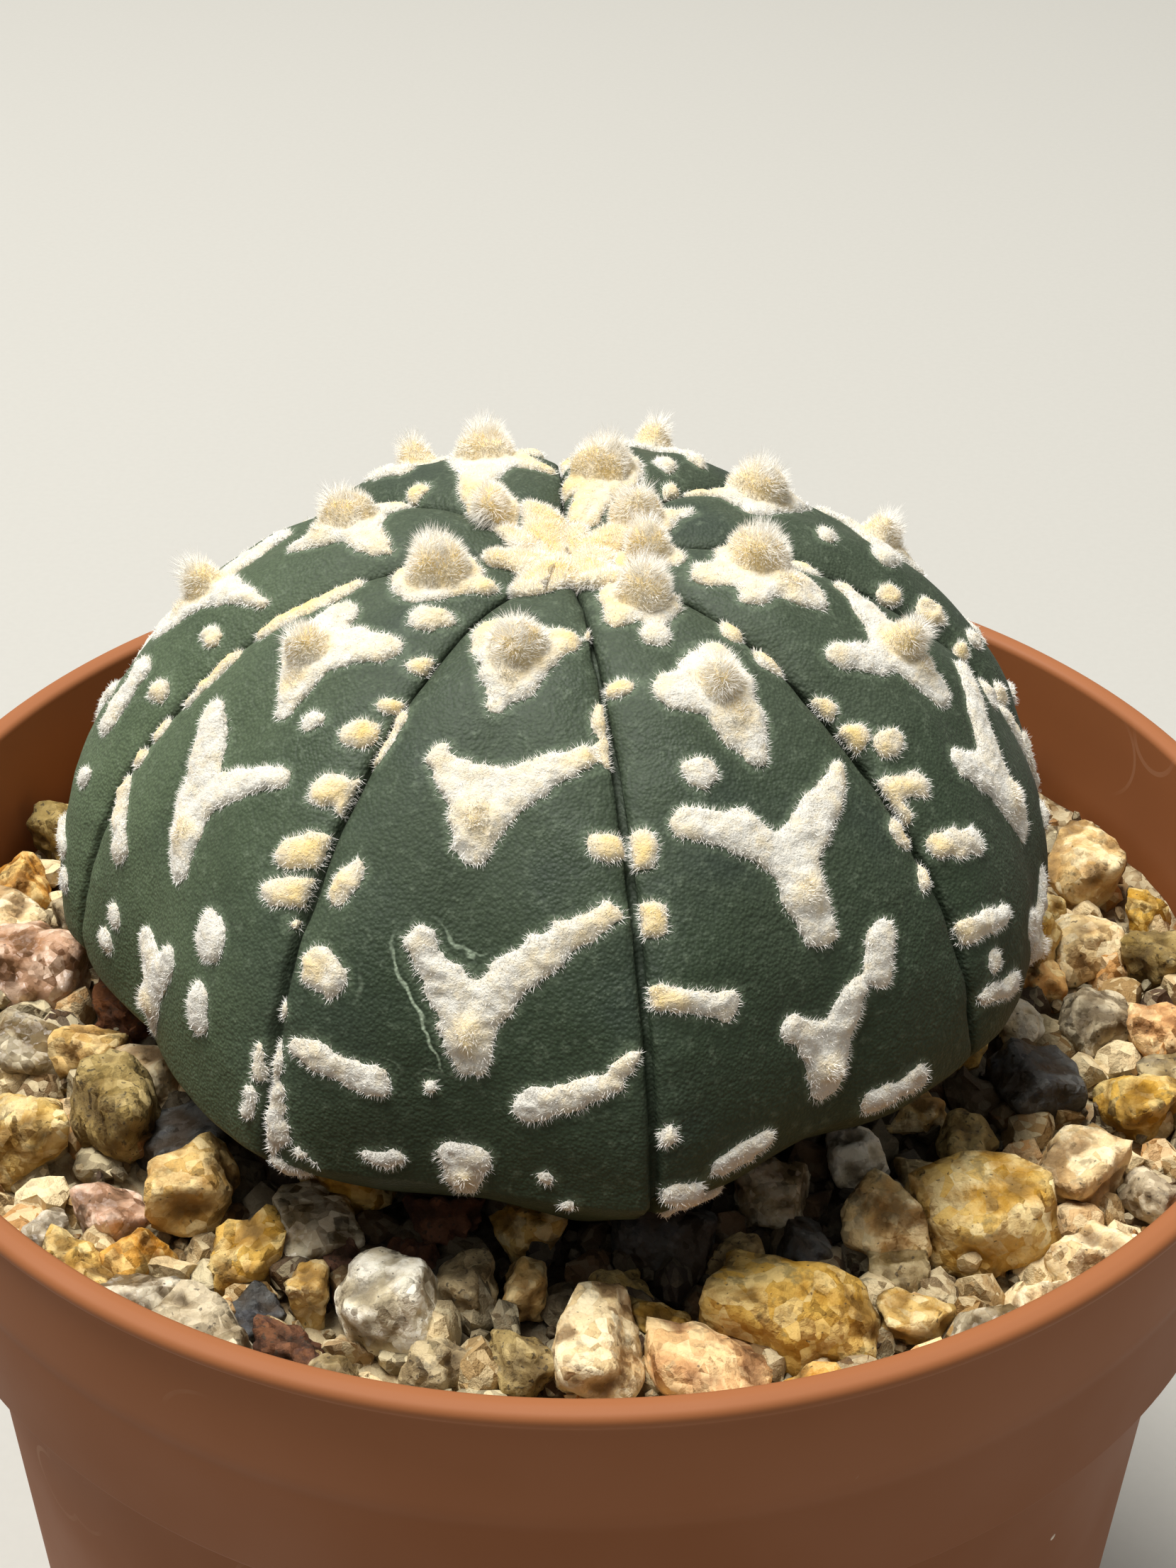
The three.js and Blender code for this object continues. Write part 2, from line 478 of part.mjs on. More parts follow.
// A forked mark: two arms and a tail, each with a blunt end, and a notch between each two.
function forkedMark(rib, [across, down, leftX, leftY, rightX, rightY, tailX, tailY, breadth], draw) {
  const limbs = [[leftX, leftY, ARM_RADIUS], [rightX, rightY, ARM_RADIUS], [tailX, tailY, TAIL_RADIUS]]
    .map(([x, y, radius]) => ({
      angle: Math.atan2(y - down, x - across),
      length: Math.hypot(x - across, y - down),
      radius: Math.min(radius, breadth * 0.7),
    }))
    .sort((one, other) => one.angle - other.angle);
  const outline = [];
  limbs.forEach(({ angle, length, radius }, index) => {
    const sideTurn = Math.atan2(radius, length);
    const next = limbs[(index + 1) % 3].angle + (index === 2 ? 2 * Math.PI : 0);
    const points = [
      [angle - sideTurn, Math.hypot(length, radius)],
      [angle + sideTurn, Math.hypot(length + radius / 2, radius)],
      [(angle + next) / 2, breadth / Math.sin(Math.max((next - angle) / 2, NARROWEST_NOTCH))],
    ];
    points.forEach(([bearing, reach]) => {
      const wobbled = reach * (0.97 + 0.06 * draw());
      outline.push([across + wobbled * Math.cos(bearing), down + wobbled * Math.sin(bearing)]);
    });
  });
  const long = limbs.some(({ length }) => length > LONG_LIMB);
  return feltPad(rib, [across, down], outline, long ? [0.5, 0.88] : [0.85]);
}

function crownWool(draw) {
  const ring = (scale, height) => RIBS.map((rib, index) => (
    overSkin(index, 0, CROWN_WOOL_REACH * scale * (0.85 + 0.3 * draw()), height)
  ));
  const top = skinPoint(0, 0, CROWN_WAY);
  top.z += CROWN_WOOL_HEIGHT;
  const bottom = skinPoint(0, 0, CROWN_WAY);
  bottom.z -= CROWN_WOOL_ROOT;
  return ringedSolid(top, [ring(0.6, CROWN_WOOL_HEIGHT * 0.8), ring(1, -FELT_ROOT)], bottom);
}

function makeCactus() {
  const draw = makeDraw(811);
  const solids = [plantSolid(SKIN_WAYS, SKIN_SIDES, 0, 0), crownWool(draw)];
  RIBS.forEach((rib, index) => {
    rib.vees.forEach((mark) => solids.push(forkedMark(index, mark, draw)));
    rib.felt.forEach((mark) => solids.push(feltStrip(index, mark, draw)));
    rib.dots.forEach((mark) => solids.push(feltDot(index, mark, draw)));
    rib.tufts.forEach((mark) => solids.push(tuft(index, mark, draw)));
  });
  return outerShell(fuse(solids)).translate(0, 0, POT_HEIGHT);
}

// Pot: one wall turned about the axis, with drain holes through its floor.
function innerRadiusAt(height) {
  const step = POT_HEIGHT - COLLAR_HEIGHT;
  if (height < step + 1) {
    return mix(FOOT_RADIUS, BODY_TOP_RADIUS, clamp(height / step, 0, 1)) - WALL;
  }
  const share = (height - step) / COLLAR_HEIGHT;
  return mix(COLLAR_FOOT_RADIUS - WALL, LIP_RADIUS - LIP_WIDTH, share);
}

function makePot() {
  const step = POT_HEIGHT - COLLAR_HEIGHT;
  const underLip = POT_HEIGHT - LIP_DROP;
  const collarTop = LIP_RADIUS - LIP_OVERHANG;
  const footInner = FOOT_RADIUS - FOOT_RING_WIDTH;
  const floorTop = FLOOR_RISE + FLOOR_THICKNESS;
  const profile = [
    [0, FLOOR_RISE],
    [footInner - 0.8, FLOOR_RISE],
    [footInner, 0],
    [FOOT_RADIUS - 0.6, 0],
    [FOOT_RADIUS, 0.8],
    [BODY_TOP_RADIUS, step],
    [COLLAR_FOOT_RADIUS - 0.5, step],
    [COLLAR_FOOT_RADIUS, step + 0.5],
    [collarTop, underLip - 0.4],
    [LIP_RADIUS - 0.2, underLip],
    [LIP_RADIUS, underLip + 0.5],
    [LIP_RADIUS - 0.3, POT_HEIGHT - 0.2],
    [LIP_RADIUS - 0.8, POT_HEIGHT],
    [LIP_RADIUS - LIP_WIDTH + 0.3, POT_HEIGHT - 0.1],
    [LIP_RADIUS - LIP_WIDTH, POT_HEIGHT - 0.6],
    [innerRadiusAt(step + 1), step + 1.2],
    [BODY_TOP_RADIUS - WALL, step + 0.8],
    [innerRadiusAt(floorTop), floorTop + 0.8],
    [innerRadiusAt(floorTop) - 0.8, floorTop],
    [0, floorTop],
  ];
  const wall = latheSolid(profile, POT_SEGMENTS);
  const drills = [];
  for (let i = 0; i <= DRAIN_COUNT; i += 1) {
    const reach = i === DRAIN_COUNT ? 0 : DRAIN_RING_RADIUS;
    const angle = toRadians(30 + (360 / DRAIN_COUNT) * i);
    const drill = new THREE.CylinderGeometry(DRAIN_RADIUS, DRAIN_RADIUS, 3 * floorTop, DRAIN_SEGMENTS);
    drill.rotateX(Math.PI / 2);
    drill.translate(reach * Math.cos(angle), reach * Math.sin(angle), 0);
    drills.push(toSolid(drill));
  }
  return drills.reduce((solid, drill) => solid.subtract(drill), wall);
}

// Soil: fills the pot below the grit, with a plain hole for the root.
function makeSoil() {
  const floor = FLOOR_RISE + FLOOR_THICKNESS + GAP;
  const step = POT_HEIGHT - COLLAR_HEIGHT;
  const profile = [
    [0, floor],
    [innerRadiusAt(floor) - GAP - 1.2, floor],
    [innerRadiusAt(floor + 1.2) - GAP - 0.1, floor + 1.2],
    [innerRadiusAt(step) - GAP - 0.2, step + 0.6],
    [innerRadiusAt(step + 2) - GAP - 0.3, step + 2],
    [innerRadiusAt(SOIL_TOP) - GAP - 0.3, SOIL_TOP],
    [0, SOIL_TOP],
  ];
  const fill = latheSolid(profile, POT_SEGMENTS);
  const hole = [[0, POT_HEIGHT + ROOT_TIP - 2 * ROOT_CLEARANCE]];
  [...ROOT_RINGS].reverse().forEach(([height, radius]) => {
    hole.push([radius + ROOT_CLEARANCE, POT_HEIGHT + height - ROOT_CLEARANCE]);
  });
  hole.push([HOLE_SHOULDER[0], POT_HEIGHT + HOLE_SHOULDER[1]]);
  hole.push([HOLE_MOUTH_RADIUS, SOIL_TOP + 1], [0, SOIL_TOP + 1]);
  return fill.subtract(latheSolid(hole, HOLE_SEGMENTS).translate(PLANT_X, PLANT_Y, 0));
}

// Stones: the corners of an icosahedron, or of a block, pushed about and kept inside the wall.
const GOLDEN = (1 + Math.sqrt(5)) / 2;
const ROUND_STONE = {
  corners: [
    [-1, GOLDEN, 0], [1, GOLDEN, 0], [-1, -GOLDEN, 0], [1, -GOLDEN, 0],
    [0, -1, GOLDEN], [0, 1, GOLDEN], [0, -1, -GOLDEN], [0, 1, -GOLDEN],
    [GOLDEN, 0, -1], [GOLDEN, 0, 1], [-GOLDEN, 0, -1], [-GOLDEN, 0, 1],
  ],
  faces: [
    0, 11, 5, 0, 5, 1, 0, 1, 7, 0, 7, 10, 0, 10, 11, 1, 5, 9, 5, 11, 4, 11, 10, 2, 10, 7, 6, 7, 1, 8,
    3, 9, 4, 3, 4, 2, 3, 2, 6, 3, 6, 8, 3, 8, 9, 4, 9, 5, 2, 4, 11, 6, 2, 10, 8, 6, 7, 9, 8, 1,
  ],
};
const BLOCK_STONE = {
  corners: [
    [-1, -1, -1], [1, -1, -1], [1, 1, -1], [-1, 1, -1],
    [-1, -1, 1], [1, -1, 1], [1, 1, 1], [-1, 1, 1],
  ],
  faces: [
    0, 2, 1, 0, 3, 2, 4, 5, 6, 4, 6, 7, 0, 1, 5, 0, 5, 4,
    1, 2, 6, 1, 6, 5, 2, 3, 7, 2, 7, 6, 3, 0, 4, 3, 4, 7,
  ],
};

function stoneSolid([x, y, width, depth, height, turn], shape, tilt, draw) {
  const spin = new THREE.Matrix4().makeRotationZ(toRadians(turn));
  const lean = new THREE.Matrix4().makeRotationX(toRadians(tilt));
  const centre = new THREE.Vector3(x, y, BED_TOP + STONE_SHARE_ABOVE * height);
  const half = new THREE.Vector3(width / 2, depth / 2, height / 2);
  const points = shape.corners.map(([cx, cy, cz]) => {
    const push = 0.86 + 0.3 * draw();
    const corner = new THREE.Vector3(cx, cy, cz).normalize();
    const squared = [corner.x, corner.y, corner.z]
      .map((value) => Math.sign(value) * Math.abs(value) ** STONE_SQUARENESS);
    const point = new THREE.Vector3(...squared).multiplyScalar(push).multiply(half);
    point.applyMatrix4(lean).applyMatrix4(spin).add(centre);
    const limit = innerRadiusAt(point.z) - STONE_WALL_CLEARANCE;
    const reach = Math.hypot(point.x, point.y);
    if (reach > limit) {
      point.x *= limit / reach;
      point.y *= limit / reach;
    }
    return point;
  });
  const geometry = new THREE.BufferGeometry();
  const flat = points.flatMap((point) => [point.x, point.y, point.z]);
  geometry.setAttribute('position', new THREE.BufferAttribute(new Float32Array(flat), 3));
  geometry.setIndex(shape.faces);
  return toSolid(geometry);
}

// The ring stones that find room between the placed ones.
function scatteredStones(draw) {
  const stones = [];
  STONE_RINGS.forEach(([radius, count]) => {
    for (let i = 0; i < count; i += 1) {
      const bearing = ((i + 0.7 * draw()) / count) * 2 * Math.PI;
      const reach = radius + 1.6 * (draw() - 0.5);
      const width = mix(STONE_SMALL, STONE_LARGE, draw() ** 1.6);
      const depth = width * (0.75 + 0.35 * draw());
      const height = width * (0.65 + 0.3 * draw());
      const turn = 180 * draw();
      const x = reach * Math.cos(bearing);
      const y = reach * Math.sin(bearing);
      const crowded = PLACED_STONES.some(([px, py, placedWidth, placedDepth]) => (
        Math.hypot(px - x, py - y) < 0.25 * width + 0.22 * (placedWidth + placedDepth)
      ));
      if (!crowded) {
        stones.push([x, y, width, depth, height, turn]);
      }
    }
  });
  return stones;
}

function makeGravel() {
  const bottom = SOIL_TOP + GAP;
  const draw = makeDraw(STONE_SEED);
  const bed = latheSolid([
    [0, bottom],
    [innerRadiusAt(bottom) - GAP - 0.2, bottom],
    [innerRadiusAt(BED_TOP) - GAP - 0.2, BED_TOP],
    [0, BED_TOP],
  ], POT_SEGMENTS);
  const placed = PLACED_STONES.map((stone) => stoneSolid(stone, ROUND_STONE, 0, draw));
  const scattered = scatteredStones(draw).map((stone) => (
    stoneSolid(stone, BLOCK_STONE, STONE_TILT * (draw() - 0.5), draw)
  ));
  const room = plantSolid(ROOM_WAYS, ROOM_SIDES, PLANT_CLEARANCE, ROOT_CLEARANCE);
  return outerShell(fuse([bed, ...placed, ...scattered]).subtract(room.translate(0, 0, POT_HEIGHT)));
}

function addPiece(group, name, solid, roughness) {
  const material = new THREE.MeshStandardMaterial({ color: COLOURS[name], roughness, metalness: 0 });
  const mesh = new THREE.Mesh(toGeometry(solid), material);
  mesh.name = name;
  group.add(mesh);
}

const group = new THREE.Group();
addPiece(group, 'pot', makePot(), 0.5);
addPiece(group, 'soil', makeSoil(), 0.95);
addPiece(group, 'gravel', makeGravel(), 0.8);
addPiece(group, 'cactus', makeCactus(), 0.7);

export default group;
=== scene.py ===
"""A potted super kabuto star cactus, life size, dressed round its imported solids.

Sizes in the code are millimetres on the object's own axes: +Z up from the pot's foot and -Y
towards the plant's front. Meshes are turned to metres as they are made. Materials and node trees
are in metres, and a texture's scale is the number of its cells in a metre.
"""
import contextlib
import math

import bmesh
import bpy
import numpy as np
from mathutils import Matrix, Vector


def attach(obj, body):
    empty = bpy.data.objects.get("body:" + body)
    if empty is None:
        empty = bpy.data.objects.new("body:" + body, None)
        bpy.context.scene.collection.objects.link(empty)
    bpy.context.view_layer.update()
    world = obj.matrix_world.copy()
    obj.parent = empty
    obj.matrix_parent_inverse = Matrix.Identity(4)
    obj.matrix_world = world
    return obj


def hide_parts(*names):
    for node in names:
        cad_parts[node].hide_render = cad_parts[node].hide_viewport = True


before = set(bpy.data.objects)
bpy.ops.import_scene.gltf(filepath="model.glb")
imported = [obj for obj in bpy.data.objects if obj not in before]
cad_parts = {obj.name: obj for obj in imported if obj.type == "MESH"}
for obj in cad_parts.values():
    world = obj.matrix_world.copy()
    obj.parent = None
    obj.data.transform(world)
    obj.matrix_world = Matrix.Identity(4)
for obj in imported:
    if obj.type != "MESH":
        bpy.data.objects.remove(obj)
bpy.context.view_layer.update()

bl_info = {
    "name": "Potted star cactus",
    "version": (1, 0, 0),
    "blender": (4, 5, 0),
    "location": "3D View > Sidebar > Star cactus",
    "description": "Makes a ribbed star cactus with felt marks, bedded in mixed grit in a plastic pot",
    "category": "Object",
}

MM = 0.001
POT_HEIGHT = 86.0
BED_TOP = 75.5
SOIL_TOP = 72.0
# The pot's collar height, foot and body radii and wall, and its drain holes.
COLLAR, FOOT, BODY_TOP, WALL = 19.25, 42.4, 45.6, 1.2
HOLE_RADIUS, HOLE_RING = 4, 27
# Points closer than this, in metres, are one point.
MERGE = 0.000002

# Each rib: crest bearing, reach at the waist, waist above the lip, and the bearing and reach
# of the groove on its left. Bearings are degrees from +X, counted from the front left.
RIBS = np.array([
    [-101, 31.8, 0.0, -123, 33.2],
    [-60, 31.5, 1.5, -81.5, 34.5],
    [-18, 31.8, 1.5, -39.5, 32.3],
    [29.5, 34.2, 1.0, 6, 32.6],
    [72, 35.5, 2.0, 51, 33.0],
    [118, 34.8, 2.0, 92, 34.6],
    [163.5, 36.0, -3.0, 142, 34.2],
    [209.5, 31.0, -1.5, 189.5, 33.6],
])
CREST, REACH, WAIST, GROOVE, GROOVE_REACH = RIBS.T
GROOVE_WAIST = 0.5 * (WAIST + np.roll(WAIST, 1))

PLANT_X, PLANT_Y = -0.5, -1.0
LEAN_X, LEAN_Y = -0.02, 0.055
CROWN_HEIGHT = 26.6
CROWN_DIMPLE = 2.2
DIMPLE_RADIUS = 7.0
UNDERSIDE_DEPTH = 21.3
RIB_ROUNDNESS, GROOVE_ROUNDNESS, UNDERSIDE_ROUNDNESS = 2.05, 1.93, 1.2
GROOVE_DROP = 1.1
SHOULDER = 1.0
# The arms of the crown's felt: bearing, reach past the middle and half width in degrees.
CROWN_ARMS = [(112, 3.6, 15), (-112, 4.6, 22), (34, 3, 20), (-58, 3.8, 22), (150, 2.6, 16), (-162, 3, 18)]
ROOT_RINGS = [(-21, 9.5), (-32, 6), (-50, 1.4)]
ROOT_TIP = -52
# The felt's grid, and a distance past any felt. The pale scar lies beside one mark.
FELT_STEP, NOWHERE = 0.23, 9.0
SCAR_RIB, SCAR_ACROSS, SCAR_DOWN, SCAR_SIZE = 0, -2.2, 35.6, 4.0
FLOOR_REACH = 6000

# The marks on each rib, in millimetres on the skin: across from the ridge, down from the crown.
#   vees: the fork, the ends of its left arm, right arm and tail, then its breadth
#   felt: each end of a strip with its radius; dots and tufts: a place with its radius
MARKS = [
    {"tufts": [(-0.4, 13.4, 2.1)],
     "vees": [(-0.4, 13.2, -2.9, 11.6, 3, 11.6, -0.6, 17.4, 2.3),
              (-0.5, 23.4, -3.9, 21.2, 5.2, 20, -0.9, 26.9, 1.72),
              (0.2, 36.2, -3.4, 32.3, 8, 28.9, 0.4, 39.2, 1.5), (0, 45.8, -1.1, 45, 1.1, 45, 0, 47.2, 0.9)],
     "felt": [(-10.3, 39.2, 0.9, -5.4, 40.8, 0.9), (-9.3, 34.3, 1.2, -8.3, 34.9, 1.1),
              (4, 41, 1, 9, 38.6, 0.7), (6.3, 16.8, 1, 7.1, 19.3, 1), (-7.1, 18.9, 0.7, -8.3, 21.2, 0.8),
              (-11.8, 47.8, 0.9, -10.8, 48.6, 0.7), (-5.9, 46, 0.5, -4, 45.8, 0.5),
              (8.6, 38.8, 0.6, 10.2, 36.6, 0.4), (-12.1, 39.4, 0.6, -12, 40.8, 0.6),
              (-11.9, 43.4, 0.7, -11.6, 44.8, 0.6), (-12.4, 40.4, 0.4, -11.6, 42.2, 0.5),
              (-11.6, 45.2, 0.8, -12.1, 46.6, 0.5), (-10.4, 46.2, 0.4, -9.2, 46.9, 0.4)],
     "dots": [(7.4, 25.1, 1.1), (-8.3, 29.3, 1.1), (4.2, 10.3, 0.9), (-2.1, 40.9, 0.35), (5.2, 45.7, 0.5),
              (6.6, 47.6, 0.6), (-11.7, 37, 0.5), (-12, 42.4, 0.7)]},
    {"tufts": [(0.8, 17.6, 1.6), (0.5, 8.8, 2.1)],
     "vees": [(0.8, 17.4, -3, 16.9, 2.2, 15, 0.7, 22.6, 2.1), (0.3, 29.2, -6, 24.6, 6, 25.2, 0.4, 34, 1.5),
              (-0.4, 40.7, -3, 38.4, 2.4, 37.6, -0.9, 43.2, 1.3)],
     "felt": [(4.7, 35.1, 1.1, 3.9, 37, 1.1), (2.6, 45.3, 0.9, 6.3, 44.8, 0.8),
              (-8.6, 44.8, 0.8, -5.8, 44.6, 0.9), (-11, 32.9, 0.7, -6.9, 35.3, 0.9),
              (-11.8, 45.2, 0.8, -10.6, 45.8, 0.8), (-10.8, 49.2, 0.6, -8.4, 48.4, 0.7),
              (-0.2, 8.6, 1.5, -2, 10, 1)],
     "dots": [(4.9, 14, 1.2), (6.2, 17, 1.4), (-3.5, 22.5, 1.1), (-0.6, 12.2, 1.1), (-5.1, 15.2, 1),
              (-8.6, 25, 1.1), (-9.6, 28.9, 1.1), (9, 29.9, 1), (9.8, 32.8, 0.9), (-11.8, 41, 0.6)]},
    {"tufts": [(2, 12.4, 2.1), (1.7, 22.9, 1.6), (0.4, 5.6, 1.7)],
     "vees": [(1.2, 13, -1.6, 9.6, 4.4, 12, 0.8, 17, 2.1), (1.6, 23, -4.1, 19.6, 4.6, 18.4, 1.1, 27, 1.5),
              (0.6, 33.2, -3, 29.9, 6.4, 27.8, 1.5, 37.8, 1.5),
              (0.2, 45, -2.6, 42.6, 3.2, 42.4, 0.2, 47.4, 1.2)],
     "felt": [(-11, 37.4, 0.9, -7.4, 38.7, 0.8), (-10.8, 42.3, 0.8, -7.6, 43.6, 0.9),
              (1.2, 12.8, 1.9, -2.4, 13.4, 1), (1.6, 13, 1.6, 1.4, 16.2, 1), (-9.2, 27.4, 1, -7.6, 28.4, 1),
              (-9.3, 32, 0.9, -6.8, 33.6, 0.9), (9.8, 33.4, 0.8, 10.6, 36.6, 0.8),
              (-9.2, 27.8, 0.7, -10, 29.4, 0.5)],
     "dots": [(5.8, 15.8, 1), (-6.9, 25.4, 1), (-8, 21.1, 1), (8.4, 31, 1), (7.6, 40.4, 1),
              (-8.3, 23.6, 1.1), (-9.6, 40.4, 0.7)]},
    {"tufts": [(2.2, 16.4, 2.1), (0.8, 27, 1.6), (0.5, 6.1, 1.9)],
     "vees": [(2, 16.2, -0.6, 14.4, 3.8, 13.2, 2.7, 20.8, 1.9),
              (0.6, 27.2, -5.2, 23.6, 3.6, 24, -0.4, 30.8, 1.5),
              (0.4, 38.6, -4.6, 35.2, 4.8, 34.4, 0.6, 42.2, 1.4),
              (-0.4, 48.8, -3.2, 46.8, 2.6, 46.6, -0.4, 51, 1.1)],
     "felt": [(-12, 40.6, 0.9, -12, 44.6, 0.9), (7.8, 31.4, 0.8, 10.2, 33.2, 0.8),
              (0.4, 6.4, 1.2, 0.2, 9.4, 0.6)],
     "dots": [(-3.9, 19, 1), (-9, 27.5, 1.4), (-11, 31, 1), (-12, 35.7, 1), (7.6, 22.4, 1.1),
              (9.6, 28, 1.2), (-8.8, 23.9, 1), (-8.8, 32.4, 1), (-8.6, 38.8, 0.9), (-12, 48.4, 0.8),
              (8.8, 39.6, 1)]},
    {"tufts": [(0.5, 10.6, 2.3), (0.8, 22.6, 1.7), (0.2, 34.8, 1.4)],
     "vees": [(0.5, 10.6, -1.8, 8.8, 2.8, 8.8, 0.6, 14, 2.2),
              (0.8, 22.8, -4.2, 19.4, 4.8, 19, 0.6, 26.6, 1.7),
              (0.2, 35, -5, 31.2, 5.6, 30.6, -0.4, 38.8, 1.5),
              (0.4, 46.4, -2.8, 44, 3.4, 43.8, 0.2, 49, 1.1)],
     "felt": [(-9.4, 27.6, 0.9, -7.6, 30.2, 0.9), (8, 36.8, 0.9, 10.4, 39.2, 0.9),
              (0.5, 9.6, 2.2, 0.1, 5, 1.4), (-10.6, 41.4, 0.9, -7.6, 42.8, 0.8)],
     "dots": [(-2.8, 15.2, 1.1), (-5, 13, 1), (5.6, 15, 1.2), (-8.4, 22.6, 1.1), (8.2, 25.2, 1.2),
              (-10.2, 35.6, 1.1), (9.4, 29.8, 1), (9.8, 44.6, 0.9), (-6.2, 47.4, 0.8)]},
    {"tufts": [(-2, 16, 2.1), (2.8, 7.1, 1.8), (-1, 27, 1.6)],
     "vees": [(-2, 16, -4.4, 14.2, 0.6, 13.6, -1.6, 19.8, 2),
              (-1, 27.2, -5.6, 23.6, 4.4, 23.4, -0.8, 31, 1.5),
              (0.2, 38.8, -5.2, 34.8, 5.2, 35.2, 0.6, 42.6, 1.4),
              (0, 48.4, -2.8, 46.2, 3, 46.4, 0.2, 50.8, 1.1)],
     "felt": [(4.6, 20.6, 0.9, 4, 18.4, 0.9), (-9.8, 31.6, 0.9, -7.4, 33.6, 0.9),
              (8.8, 29.8, 0.9, 10.8, 32.4, 0.9), (9.6, 40.8, 0.9, 12, 42.2, 0.8),
              (-1.8, 14.6, 1.9, 2.2, 10.4, 1.3), (-2, 14.8, 1.6, -4.6, 12.6, 0.8)],
     "dots": [(5.2, 14.6, 0.9), (-7, 20, 1.1), (8.2, 22.8, 1), (-9.4, 27, 1.2), (-11.4, 38, 1),
              (10.2, 27, 1), (-8.4, 42.6, 1.1), (9.2, 46.8, 0.9)]},
    {"tufts": [(-0.4, 15.6, 2.1), (2.6, 26.2, 1.8)],
     "vees": [(0.4, 15.2, -3.8, 14.2, 3.8, 12.8, 2.2, 18.8, 1.8),
              (2.6, 26.4, -1.8, 21.6, 7.6, 21.6, 4, 30.2, 1.7),
              (0.4, 40.4, -4.6, 36, 5.2, 36.2, 0.2, 44.4, 1.4),
              (0.2, 50.6, -2.8, 48.4, 3, 48.4, 0.2, 52.8, 1.1)],
     "felt": [(7.6, 32, 1.1, 9.6, 36, 1.1), (9.1, 46.1, 0.9, 11.8, 45.8, 0.9),
              (-9.6, 30, 0.9, -7.8, 32.8, 0.9)],
     "dots": [(11, 31, 0.9), (11.4, 40, 0.9), (-6.8, 20.4, 1.1), (-8.6, 25.4, 1.1), (-10.4, 38.4, 1.1),
              (13.4, 48, 0.9), (-8, 44.6, 1), (8.8, 25.8, 0.9)]},
    {"tufts": [(-0.2, 18.8, 1.7), (-0.4, 9.2, 2.3)],
     "vees": [(-0.1, 18.9, -1.9, 15.4, 4.4, 15.2, 2, 22.4, 1.8),
              (-0.2, 30.6, -3.6, 25.4, 6.2, 25.4, 1.8, 34.6, 1.55),
              (1.8, 42.6, -0.4, 40.6, 3.8, 39.5, 1, 45.8, 1.2)],
     "felt": [(-9, 33.4, 1, -6.2, 36.8, 1), (-6.2, 19.4, 0.9, -5.2, 16.6, 0.9),
              (-7.4, 24.6, 0.7, -6.8, 22.2, 0.8), (10.2, 28.4, 1, 11.4, 27.2, 1),
              (10.8, 30.6, 0.9, 12.4, 29.8, 0.9), (8.4, 39.7, 1, 8.7, 40.7, 1),
              (-4.5, 15, 1, -3.8, 13.6, 0.6), (11, 22.8, 0.9, 11.2, 24, 1), (-0.2, 9, 1.8, 1.9, 7.4, 1),
              (14.2, 39.6, 0.4, 14.7, 41.4, 0.5), (14.4, 42.8, 0.5, 14.2, 44.4, 0.5)],
     "dots": [(4.9, 21.6, 0.9), (-6, 43.6, 0.9), (7.6, 35.7, 1.6), (-8.6, 28.6, 0.9), (3.6, 12, 1.3),
              (8.3, 20.4, 1), (9.6, 24, 1.2), (-5.3, 41.3, 0.8), (-7.5, 26, 0.7), (-9, 31, 0.8),
              (6.8, 15, 0.8), (8, 18, 0.6), (13.2, 31.6, 0.5)]},
]

